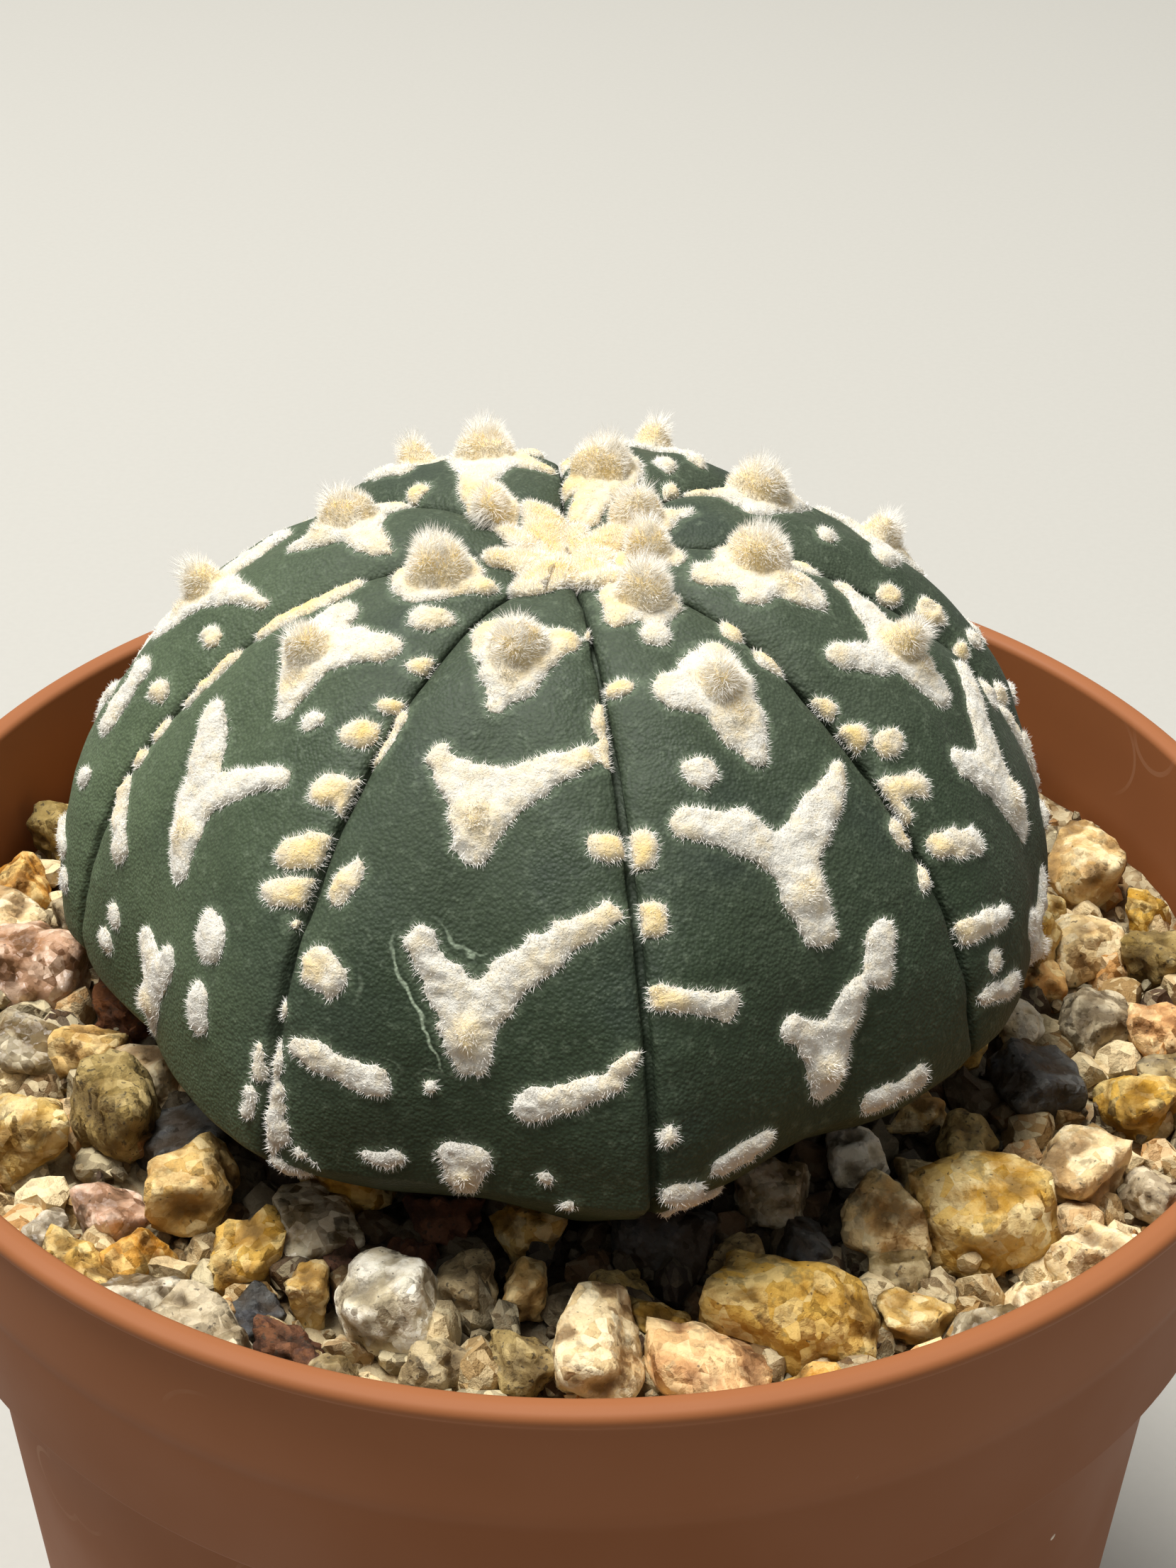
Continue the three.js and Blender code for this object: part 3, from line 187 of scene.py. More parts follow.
# The stones that show most: mineral, then x, y, width, depth, height and turn in degrees.
PLACED_STONES = [
    ("rose", -39.5, -0.5, 8.6, 8, 6.5, 10), ("quartz", -38, -9, 5.6, 6, 4.6, 40),
    ("ochre", -33.8, -9.4, 4.6, 5, 4.6, 75), ("cream", -36.6, -18, 5.4, 7, 6.4, 20),
    ("granite", -30.6, -17, 6.2, 6.6, 7.4, 60), ("quartz", -33.8, -26.6, 3, 3, 3, 15),
    ("rose", -29.8, -25.2, 4.4, 4, 4, 30), ("ochre", -31.2, -30.2, 5.8, 4, 3.6, -30),
    ("ochre", -24.6, -23.4, 6.8, 6.6, 6.4, 10), ("ochre", -20.4, -29.3, 5.4, 4.6, 4.6, 25),
    ("orange", -27.6, -28.8, 4.2, 3.6, 4.4, 50), ("quartz", -26.6, -33.2, 6.2, 4.2, 4.4, -25),
    ("grey", -22.6, -36.2, 6.6, 5, 4.6, -30), ("cream", -16.6, -31.3, 2.8, 4, 4, 5),
    ("slate", -19.8, -33.6, 3.6, 3.2, 2.8, 40), ("lava", -17.2, -36.4, 5.2, 3.6, 3, -8),
    ("pumice", -11.4, -33.6, 7.2, 7, 6.6, -35), ("lava", -10.2, -29, 4.4, 3.4, 3, 0),
    ("lava", -14.6, -29.4, 2.8, 4, 3.4, 10), ("granite", -6.8, -31.4, 4.4, 5.4, 4.2, 15),
    ("ochre", -3.2, -31.2, 2.8, 5, 3.8, 0), ("granite", -3.1, -37.6, 4.5, 4.4, 4.2, 0),
    ("granite", -8.4, -38, 4.8, 3.8, 3.8, 20), ("grey", -14.8, -39.6, 4, 3.8, 3.4, -15),
    ("pumice", -9.2, -42.4, 4.6, 3, 3, -12), ("quartz", -4.6, -42.8, 4.2, 3, 3, 0),
    ("grey", -18.8, -40.2, 3.4, 3, 2.6, -20), ("cream", 1.4, -37.4, 5.6, 7.4, 6, 10),
    ("orange", 7.9, -38.6, 7.2, 5.6, 5, 5), ("granite", 6.2, -42.2, 4.2, 3.2, 3.4, 0),
    ("cream", 2.6, -43.2, 3, 2.6, 2.4, 15), ("ochre", 5.6, -34.6, 4.4, 3.6, 2.8, 10),
    ("granite", 2.2, -31.8, 5, 4.2, 3.2, 20), ("ochre", 13.4, -34.2, 10.4, 6.2, 6.4, -22),
    ("orange", 13.6, -40.4, 4.6, 3.8, 3.4, 10), ("slate", 14.4, -28, 3.4, 4.6, 4.2, 15),
    ("granite", 10, -29, 4.2, 4, 3.6, 30), ("cream", 19.4, -26.2, 5.4, 5.6, 5.8, 5),
    ("cream", 26, -26.4, 8.2, 7.6, 7, 20), ("grey", 22.2, -20.9, 3, 3, 3, 0),
    ("granite", 26, -17.6, 4.8, 4.4, 3.6, 25), ("cream", 32.6, -21, 6.4, 6.6, 5.8, 35),
    ("grey", 37.2, -22.4, 3.8, 4, 3.6, 50), ("cream", 32.6, -28.8, 5.8, 4.2, 4.2, 40),
    ("cream", 29, -32.8, 3.8, 3.8, 3.4, 45), ("quartz", 24.8, -35.6, 4.4, 4.8, 4.2, 20),
    ("cream", 20.6, -33.6, 4.6, 3.4, 3.4, 15), ("orange", 19.4, -38.8, 6.2, 3.8, 3.4, 25),
    ("grey", 20, -30, 4, 3.2, 2.8, 0), ("slate", 31.4, -12.2, 6.8, 5.4, 5, 15),
    ("ochre", 37.8, -14, 5.4, 5.4, 4.8, 40), ("orange", 41.4, -7, 4.8, 6, 5, 70),
    ("grey", 36.8, -4.8, 6.2, 5.6, 4.8, 30), ("cream", 37.8, 3.4, 5.8, 5.6, 5, 10),
    ("orange", 33.8, 0.2, 3.2, 3.8, 3.8, 0), ("granite", 42.6, 1.6, 4.8, 6, 5, 80),
    ("cream", 39.4, 13, 7.8, 6.4, 6.2, 60), ("cream", 35.4, 8, 3.6, 4.4, 4.2, 30),
    ("ochre", 43.2, 8.6, 3.6, 3.6, 3.4, 20), ("granite", -40.4, 17.6, 5, 6.6, 5.4, 60),
    ("orange", -42.8, 10.6, 4.4, 4.6, 4.4, 20), ("grey", -38.2, 7.4, 4, 4, 3.8, 45),
    ("orange", -36, 27, 5.2, 5, 4.4, 10),
]
STONE_RINGS = [(27, 22), (32, 26), (37.6, 29), (43.2, 34)]
STONE_SEED = 4127
HOLED_PEBBLE = 21
SCATTER_KINDS = ["cream", "ochre", "cream", "grey", "orange", "quartz", "cream", "granite", "ochre", "cream",
                 "rose", "granite", "orange", "grey", "ochre", "lava", "cream", "slate", "quartz", "pumice"]

# Each mineral: its material's name, the colours of its faces, crystals, stain and glassy grains,
# roughness, share of mica, how much light passes under its surface, and how it breaks: number
# of flat faces, sharpness of the edges, and roughness in millimetres.
MINERALS = {
    # Crushed potassium feldspar granite: cream crystals with honey stain between them.
    "cream": ("crushed_feldspar_granite", "#d6b472", "#f0deb0", "#b5853c", "#9a8963",
              0.75, 0.02, 0.1, (9, 22, 0.15)),
    # The same rock with limonite in its cracks: yellow ochre faces and brown hollows.
    "ochre": ("limonite_stained_granite", "#d2a95e", "#ecd49c", "#a0722e", "#94845a",
              0.8, 0.01, 0.05, (9, 20, 0.17)),
    # Iron-stained feldspar: peach to orange faces with cream edges.
    "orange": ("iron_stained_feldspar", "#dfa960", "#f2d698", "#bb762c", "#a5895a",
               0.75, 0.01, 0.1, (8, 22, 0.15)),
    # Vein quartz, broken: grey and glassy, with milky clouds.
    "quartz": ("broken_vein_quartz", "#9c907a", "#d2c6aa", "#8a734c", "#6f675a",
               0.35, 0.01, 0.35, (8, 30, 0.06)),
    # Rose quartz: the same glassy break, milky pink.
    "rose": ("broken_rose_quartz", "#c9a286", "#e6cdb6", "#ac7c58", "#a08775", 0.4, 0.0, 0.3, (8, 26, 0.07)),
    # Weathered biotite granite: tan grains peppered with dark mica, rough as coarse sandpaper.
    "granite": ("weathered_biotite_granite", "#9f8a5c", "#c6b182", "#7a643c", "#857a60",
                0.9, 0.09, 0.0, (13, 13, 0.2)),
    # Grey granite: cooler, with glassy quartz grains.
    "grey": ("grey_granite", "#a4926f", "#cdbc97", "#80693f", "#857a66", 0.6, 0.05, 0.1, (9, 20, 0.13)),
    # Slate, split: blue-grey and dull, almost black in its hollows.
    "slate": ("split_slate", "#454543", "#605f5b", "#383229", "#33343a", 0.6, 0.03, 0.0, (8, 26, 0.1)),
    # Scoria: red-brown lava full of pores.
    "lava": ("red_brown_scoria", "#5a3824", "#7f553a", "#321f18", "#47302a", 0.92, 0.1, 0.0, (11, 12, 0.3)),
    # Pumice: off-white volcanic froth with small pores, chalky to the eye.
    "pumice": ("off_white_pumice", "#e4dcc2", "#f2ecda", "#c2ae80", "#c9bfa5",
               0.95, 0.03, 0.05, (15, 10, 0.14)),
}


def linear(code):
    """An sRGB hex colour as the three linear values that Blender works in."""
    values = [int(code[i:i + 2], 16) / 255 for i in (1, 3, 5)]
    return tuple(v / 12.92 if v <= 0.04045 else ((v + 0.055) / 1.055) ** 2.4 for v in values)


# Settings.

def size(name, description, default):
    """A setting for a size, with its default in millimetres."""
    return bpy.props.FloatProperty(name=name, description=description, default=default * MM, unit="LENGTH")


def colour(name, description, code):
    return bpy.props.FloatVectorProperty(
        name=name, description=description, default=linear(code), subtype="COLOR", size=3, min=0, max=1)


def whole(name, description, default):
    return bpy.props.IntProperty(name=name, description=description, default=default, subtype="UNSIGNED")


class PotSettings(bpy.types.PropertyGroup):
    lip_radius: size("Lip radius", "Radius of the pot across its lip", 50)
    lip_width: size("Lip width", "Width of the rounded lip, seen from above", 1.8)
    collar_height: size("Collar height", "Height of the wide band under the lip", COLLAR)
    foot_radius: size("Foot radius", "Radius of the pot where it stands", FOOT)
    wall: size("Wall", "Thickness of the moulded wall", WALL)
    segments: whole("Segments", "Faces round the pot", 240)
    plastic: colour("Plastic", "Colour of the moulded plastic", "#87502a")


class GritSettings(bpy.types.PropertyGroup):
    fill_size: size("Filler stones", "Usual width of the small stones between the large ones", 3.6)
    fill_spacing: size("Filler spacing", "Least distance between two filler stones", 2.5)
    crumb_size: size("Crumbs", "Usual width of the smallest grains", 1.2)
    seed: whole("Seed", "Changes where the small stones lie", 7)
    compost: colour("Compost", "Colour of the compost", "#3b2a1e")


class PlantSettings(bpy.types.PropertyGroup):
    crease: size("Groove crease", "How deep the grooves pinch in below the rib's round", 0.8)
    relief: size("Relief", "How far the skin's gentle lumps stand out", 0.22)
    skin_dark: colour("Dark skin", "Colour of the darkest skin, low on the ribs", "#303d2a")
    skin_light: colour("Light skin", "Colour of the lightest skin, near the crown", "#3c4735")


class FeltSettings(bpy.types.PropertyGroup):
    height: size("Felt height", "How far the felt marks stand over the skin", 0.55)
    tuft_height: size("Tuft height", "How far the woolly tufts stand over the skin", 1.8)
    wool_length: size("Wool length", "Length of the hairs on the tufts", 1.1)
    nap_length: size("Nap length", "Length of the hairs on the felt marks", 0.48)
    hair_width: size("Hair width", "Width of a hair at its root", 0.04)
    seed: whole("Seed", "Changes how the hairs lie", 3)
    white: colour("White felt", "Colour of clean felt", "#d8d4c8")
    gold: colour("Golden felt", "Colour of aged felt in the grooves and on the crown", "#e4c67f")


class StageSettings(bpy.types.PropertyGroup):
    lens: bpy.props.FloatProperty(
        name="Lens", description="Focal length for a 36 mm image height", default=54.07, unit="CAMERA")
    key_power: bpy.props.FloatProperty(
        name="Overhead light", description="Power of the large soft light above", default=31.0, unit="POWER")
    sky: bpy.props.FloatProperty(
        name="Sky light", description="Strength of the even light from above", default=0.37, subtype="FACTOR")
    floor: colour("Floor", "Colour of the floor", "#aeaca5")


# Nodes.

class Nodes:
    """A node tree in the making. Its nodes are all made by add."""

    def __init__(self, tree):
        self.tree = tree

    def add(self, kind, settings=None, inputs=None):
        """Adds a node, sets its own settings, and fills or links its inputs by name or number."""
        node = self.tree.nodes.new(kind)
        for name, value in (settings or {}).items():
            setattr(node, name, value)
        self.fill(node, inputs or {})
        return node

    def fill(self, node, inputs):
        for name, value in inputs.items():
            socket = node.inputs[name]
            if isinstance(value, bpy.types.NodeSocket):
                self.tree.links.new(value, socket)
            elif socket.type == "RGBA":
                socket.default_value = (*value[:3], 1)
            else:
                socket.default_value = value

    def math(self, operation, *values, clamp=False):
        settings = {"operation": operation, "use_clamp": clamp}
        return self.add("ShaderNodeMath", settings, dict(enumerate(values))).outputs[0]

    def vector(self, operation, *values):
        node = self.add("ShaderNodeVectorMath", {"operation": operation}, dict(enumerate(values)))
        return node.outputs["Value" if operation in ("LENGTH", "DOT_PRODUCT") else "Vector"]

    def part(self, vector, axis):
        """One axis of a vector, 0 to 2."""
        return self.add("ShaderNodeSeparateXYZ", None, {0: vector}).outputs[axis]

    def ramp(self, value, low, high, out_low=0.0, out_high=1.0):
        """Maps a value from one range to another, clamped and eased."""
        spans = dict(enumerate((value, low, high, out_low, out_high)))
        return self.add("ShaderNodeMapRange", {"interpolation_type": "SMOOTHSTEP"}, spans).outputs[0]


class Finish(Nodes):
    """A material in the making, patterned on Object coordinates: its colour goes on in coats."""

    def __init__(self, name, base):
        self.material = bpy.data.materials.new(name)
        self.material.use_nodes = True
        super().__init__(self.material.node_tree)
        self.tree.nodes.clear()
        self.shader = self.add("ShaderNodeBsdfPrincipled")
        self.add("ShaderNodeOutputMaterial", None, {"Surface": self.shader.outputs[0]})
        self.place = self.add("ShaderNodeTexCoord").outputs["Object"]
        self.colour = linear(base) if isinstance(base, str) else base

    def attribute(self, name):
        return self.add("ShaderNodeAttribute", {"attribute_name": name}).outputs["Fac"]

    def noise(self, scale, detail, roughness=0.5, distortion=0.0):
        return self.add("ShaderNodeTexNoise", None, {
            "Vector": self.place, "Scale": scale, "Detail": detail, "Roughness": roughness,
            "Distortion": distortion}).outputs["Fac"]

    def cells(self, scale, settings=None, inputs=None):
        return self.add("ShaderNodeTexVoronoi", settings,
                        {"Vector": self.place, "Scale": scale, **(inputs or {})}).outputs

    def coat(self, share, colour):
        """Lays a colour over the last one by a share from 0 to 1."""
        colour = linear(colour) if isinstance(colour, str) else colour
        self.colour = self.add("ShaderNodeMix", {"data_type": "RGBA"},
                               {0: share, 6: self.colour, 7: colour}).outputs[2]

    def bump(self, strength, distance, height, invert=False):
        node = self.add("ShaderNodeBump", {"invert": invert},
                        {"Strength": strength, "Distance": distance, "Height": height})
        self.fill(self.shader, {"Normal": node.outputs[0]})

    def done(self, roughness, sockets=None):
        """Fills the shader's own sockets and gives the material."""
        self.fill(self.shader, {"Base Color": self.colour, "Roughness": roughness, **(sockets or {})})
        return self.material


class Maker(Nodes):
    """A Geometry Nodes tree in the making, with its geometry, numbers and material as inputs."""

    def __init__(self, name, **numbers):
        super().__init__(bpy.data.node_groups.new(name, "GeometryNodeTree"))
        face = self.tree.interface
        for way in ("INPUT", "OUTPUT"):
            face.new_socket("Geometry", in_out=way, socket_type="NodeSocketGeometry")
        for label, default in numbers.items():
            kind = "NodeSocketInt" if isinstance(default, int) else "NodeSocketFloat"
            face.new_socket(label, in_out="INPUT", socket_type=kind).default_value = default
        face.new_socket("Material", in_out="INPUT", socket_type="NodeSocketMaterial")
        self.given = self.add("NodeGroupInput").outputs

    def attribute(self, name):
        return self.add("GeometryNodeInputNamedAttribute", {"data_type": "FLOAT"}, {"Name": name}).outputs[0]

    def position(self):
        return self.add("GeometryNodeInputPosition").outputs[0]

    def draw(self, low, high, seed):
        """A seeded draw for each point: a vector or a number, as its limits are."""
        kind, first, out = ("FLOAT_VECTOR", 0, 0) if isinstance(low, tuple) else ("FLOAT", 2, 1)
        return self.add("FunctionNodeRandomValue", {"data_type": kind},
                        {first: low, first + 1: high, "Seed": seed}).outputs[out]

    def step(self, kind, geometry, inputs=None, settings=None):
        """Passes a geometry through a node."""
        return self.add("GeometryNode" + kind, settings, {0: geometry, **(inputs or {})}).outputs[0]

    def keep(self, geometry, name, value, domain):
        """Stores a number on the geometry."""
        return self.step("StoreNamedAttribute", geometry, {"Name": name, "Value": value},
                         {"data_type": "FLOAT", "domain": domain})

    def done(self, geometry):
        coated = self.step("SetMaterial", geometry, {"Material": self.given["Material"]})
        self.add("NodeGroupOutput", None, {"Geometry": coated})
        return self.tree


# Skin of the plant.

def skin_at(rib, side, way):
    """Points over the lip: side is -1 to 1 from groove to groove, way is 0 at the crown,
    1 at the waist and 2 underneath. The inputs are arrays of one shape."""
    rib, side, way = np.broadcast_arrays(np.asarray(rib), np.asarray(side, float), np.asarray(way, float))
    beside = np.where(side < 0, rib, (rib + 1) % 8)
    groove = GROOVE[beside] + np.where((side >= 0) & (beside == 0), 360, 0)
    spread = np.abs(side)
    bearing = np.radians(CREST[rib] + (groove - CREST[rib]) * spread)
    share = spread ** 2
    reach = REACH[rib] * (1 - share) + GROOVE_REACH[beside] * share
    waist = 0.5 + WAIST[rib] * (1 - share) + GROOVE_WAIST[beside] * share
    roundness = RIB_ROUNDNESS * (1 - share) + GROOVE_ROUNDNESS * share
    rise = CROWN_HEIGHT + 0.5 - waist - GROOVE_DROP * share
    upper = np.minimum(way, 1) * np.pi / 2
    lower = np.clip(way - 1, 0, 0.999) * np.pi / 2
    above = way <= 1
    radius = np.where(above, reach * np.maximum(np.sin(upper), 1e-9) ** (2 / roundness),
                      reach * np.cos(lower) ** (2 / UNDERSIDE_ROUNDNESS))
    height = np.where(above, waist + rise * np.maximum(np.cos(upper), 1e-9) ** (2 / roundness),
                      waist - UNDERSIDE_DEPTH * np.sin(lower) ** (2 / UNDERSIDE_ROUNDNESS))
    flank = (1 - np.exp((spread - 1) / 0.12)) * (1 - 0.5 * np.exp(-(side / 0.3) ** 2))
    swell = SHOULDER * np.clip(way / 0.35, 0, 1) ** 1.5 * np.clip((1.9 - way) / 0.6, 0, 1) * flank
    facing = np.minimum(np.clip(way, 0, 1.6) * np.pi / 2, np.pi * 0.55)
    radius = radius + swell * np.sin(facing)
    height = height + swell * np.cos(facing)
    height = height - CROWN_DIMPLE * np.exp(-(radius / DIMPLE_RADIUS) ** 2)
    return np.stack([PLANT_X + radius * np.cos(bearing) + LEAN_X * height,
                     PLANT_Y + radius * np.sin(bearing) + LEAN_Y * height, height], -1)


def skin_normal(rib, side, way):
    """Outward directions of the skin."""
    step = 0.006
    low = np.clip(side, -1 + step, 1 - step)
    across = skin_at(rib, low + step, way) - skin_at(rib, low - step, way)
    down = skin_at(rib, side, way + step) - skin_at(rib, side, np.maximum(way - step, 0.001))
    normal = np.cross(down, across)
    return normal / np.maximum(np.linalg.norm(normal, axis=-1, keepdims=True), 1e-12)


def lump_noise(points, cell, seed):
    """Smooth noise from -1 to 1 with about one lump a cell, the same for the same place."""
    scaled = np.asarray(points, float) / cell
    base = np.floor(scaled).astype(np.int64)
    part = scaled - base
    ease = part * part * (3 - 2 * part)
    total = np.zeros(scaled.shape[:-1])
    for corner in range(2 ** scaled.shape[-1]):
        hashed = np.full(total.shape, seed * 668265263 + 374761393, np.int64)
        weight = np.ones(total.shape)
        for axis in range(scaled.shape[-1]):
            bit = corner >> axis & 1
            hashed = (hashed ^ ((base[..., axis] + bit) * (73856093 + 19349600 * axis))) & 0xFFFFFFFF
            hashed = (hashed * 1274126177 + 12345) & 0xFFFFFFFF
            weight = weight * (ease[..., axis] if bit else 1 - ease[..., axis])
        hashed = (hashed ^ (hashed >> 15)) * 2246822519 & 0xFFFFFFFF
        total += weight * ((hashed >> 8 & 0xFFFF) / 32767.5 - 1)
    return total


WAYS = np.linspace(0.0001, 1.8, 721)


def ridge_table(rib):
    """Millimetres down the ridge, and half the rib's width on each side, along the ways."""
    ridge = skin_at(rib, 0, WAYS)
    down = np.concatenate([[0], np.cumsum(np.linalg.norm(np.diff(ridge, axis=0), axis=1))])
    halves = []
    for sign in (-1, 1):
        line = skin_at(rib, sign * np.linspace(0, 1, 17)[None, :], WAYS[:, None])
        halves.append(np.linalg.norm(np.diff(line, axis=1), axis=2).sum(1))
    return down, halves[0], halves[1]


RIDGES = [ridge_table(rib) for rib in range(8)]


def place_on_rib(rib, across, down):
    """Side and way, and the rib's half width there, from millimetres across and down."""
    lengths, left, right = RIDGES[rib]
    way = np.interp(down, lengths, WAYS)
    half = np.where(across < 0, np.interp(way, WAYS, left), np.interp(way, WAYS, right))
    return across / half, way, half


def raised(rib, side, way, half, height):
    """Points at a height over the plant's skin, with its creases and lumps."""
    plant = bpy.context.scene.star_plant
    base = skin_at(rib, side, way)
    gap = (1 - np.abs(side)) * half
    pinch = plant.crease / MM * np.clip((way + 0.1) / 0.6, 0, 1) * np.clip((1.75 - way) / 0.4, 0, 1)
    fold = -pinch * (1.1 * np.exp(-(gap / 0.28) ** 2) - 0.3 * np.exp(-gap / 1.3))
    fold = fold + 0.35 * np.exp(-(gap / 1.7) ** 2) * np.clip(1 - way / 0.5, 0, 1) * np.clip(way / 0.06, 0, 1)
    relief = plant.relief / MM
    lumps = relief * (lump_noise(base, 6.5, 11) + 0.45 * lump_noise(base, 2.4, 12))
    lumps += relief * 0.7 * np.exp(-gap / 2.2) * lump_noise(base * [1, 1, 1.6], 2.0, 13)
    lumps *= np.clip(way / 0.15, 0, 1)
    points = base + skin_normal(rib, side, way) * (fold + lumps + height)[..., None]
    points[..., 2] += POT_HEIGHT
    return points


# Meshes.

def make_piece(name, points, faces, material, attributes=None, smooth=True):
    """A mesh object from millimetre points, with float attributes on its points."""
    mesh = bpy.data.meshes.new(name)
    mesh.from_pydata((np.asarray(points, float) * MM).tolist(), [], faces)
    mesh.validate()
    for label, values in (attributes or {}).items():
        layer = mesh.attributes.new(label, "FLOAT", "POINT")
        layer.data.foreach_set("value", np.asarray(values, np.float32))
    mesh.polygons.foreach_set("use_smooth", [smooth] * len(mesh.polygons))
    mesh.materials.append(material)
    piece = bpy.data.objects.new(name, mesh)
    bpy.context.scene.collection.objects.link(piece)
    return piece


def finish_piece(piece, node):
    """Hands a finished piece to the frame: it rides on the root and stands for its CAD node."""
    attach(piece, "root")
    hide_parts(node)


def ring_faces(rings, count):
    """Faces between closed rings of points, each ring starting where the last one ended."""
    return [(low + i, low + count + i, low + count + (i + 1) % count, low + (i + 1) % count)
            for low in range(0, (rings - 1) * count, count) for i in range(count)]


def fan_faces(tip, first, count, below=False):
    """Faces between a ring and its tip."""
    fan = [(tip, first + i, first + (i + 1) % count) for i in range(count)]
    return [(a, c, b) for a, b, c in fan] if below else fan


def evaluated_mesh(piece):
    """A plain mesh of a piece as its modifiers leave it. The modifiers are taken off."""
    bpy.context.view_layer.update()
    graph = bpy.context.evaluated_depsgraph_get()
    mesh = bpy.data.meshes.new_from_object(piece.evaluated_get(graph), preserve_all_data_layers=True,
                                           depsgraph=graph)
    piece.modifiers.clear()
    old, piece.data = piece.data, mesh
    mesh.name = piece.name
    bpy.data.meshes.remove(old)
    return mesh


def bake_nodes(piece, tree, values):
    """Runs a Geometry Nodes tree on a piece with named inputs, and keeps the plain mesh."""
    modifier = piece.modifiers.new("make", "NODES")
    modifier.node_group = tree
    for item in tree.interface.items_tree:
        if item.item_type == "SOCKET" and item.in_out == "INPUT" and item.name in values:
            modifier[item.identifier] = values[item.name]
    evaluated_mesh(piece)


@contextlib.contextmanager
def reworked(piece):
    """Opens a piece's mesh for editing, and writes it back."""
    work = bmesh.new()
    work.from_mesh(piece.data)
    yield work
    work.to_mesh(piece.data)
    work.free()


def move_points(piece, move):
    """Passes a piece's points, in millimetres, through a function."""
    points = np.empty(len(piece.data.vertices) * 3)
    piece.data.vertices.foreach_get("co", points)
    points = move(points.reshape(-1, 3) / MM)
    piece.data.vertices.foreach_set("co", (points * MM).ravel())
    piece.data.update()


def shade_smooth(mesh, sharp_angle):
    mesh.polygons.foreach_set("use_smooth", [True] * len(mesh.polygons))
    mesh.set_sharp_from_angle(angle=math.radians(sharp_angle))


# Materials.

def moulded_polypropylene(pot):
    """Terracotta brown polypropylene, injection moulded: an even satin skin, with fine mould
    texture, dried water marks and a few specks of lime."""
    plastic = Finish("moulded_terracotta_polypropylene", pot.plastic)
    broad = plastic.noise(45.0, 4.0)
    plastic.coat(plastic.ramp(broad, 0.35, 0.7, 0, 0.35), [c * 0.85 for c in pot.plastic])
    # The upper half of the collar is coloured a little lighter.
    plastic.coat(plastic.ramp(plastic.part(plastic.place, 2), 0.0755, 0.0775, 0, 0.16), "#b67a55")
    # Dried water leaves parts of pale rings about 8 mm wide.
    ring = plastic.math("COMPARE", plastic.cells(85.0)["Distance"], 0.34, 0.012)
    plastic.coat(plastic.math("MULTIPLY", ring, plastic.ramp(broad, 0.57, 0.66, 0, 0.12)), "#d8b396")
    # Lime specks about 0.3 mm wide, a few millimetres apart.
    speck = plastic.ramp(plastic.cells(330.0)["Distance"], 0.07, 0.1, 1, 0)
    few = plastic.ramp(plastic.noise(160.0, 1.0), 0.62, 0.68)
    plastic.coat(plastic.math("MULTIPLY", speck, few), "#e8dccb")
    # Mould texture 0.25 mm wide.
    plastic.bump(0.12, 0.00004, plastic.noise(4000.0, 2.0))
    return plastic.done(plastic.ramp(broad, 0.3, 0.7, 0.56, 0.7), {"IOR": 1.49, "Specular IOR Level": 0.22})


def cactus_compost(grit):
    """Dry cactus compost: dark fibre and loam in crumbs about a millimetre wide, quite matt."""
    loam = Finish("sieved_cactus_compost", [c * 0.4 for c in grit.compost])
    crumbs = loam.cells(900.0)
    loam.coat(crumbs["Color"], [min(1, c * 2.2) for c in grit.compost])
    loam.bump(0.8, 0.0004, crumbs["Distance"], invert=True)
    return loam.done(0.95)


def crystal_facets(rock, scale):
    """Heights in metres that tilt each crystal's face its own way, and each crystal's own draws."""
    cells = rock.cells(scale)
    away = rock.vector("SUBTRACT", rock.place, cells["Position"])
    lean = rock.vector("MULTIPLY_ADD", cells["Color"], (1.1, 1.1, 1.1), (-0.55, -0.55, -0.55))
    draws = rock.add("ShaderNodeSeparateColor", None, {0: cells["Color"]}).outputs
    return rock.vector("DOT_PRODUCT", away, lean), draws


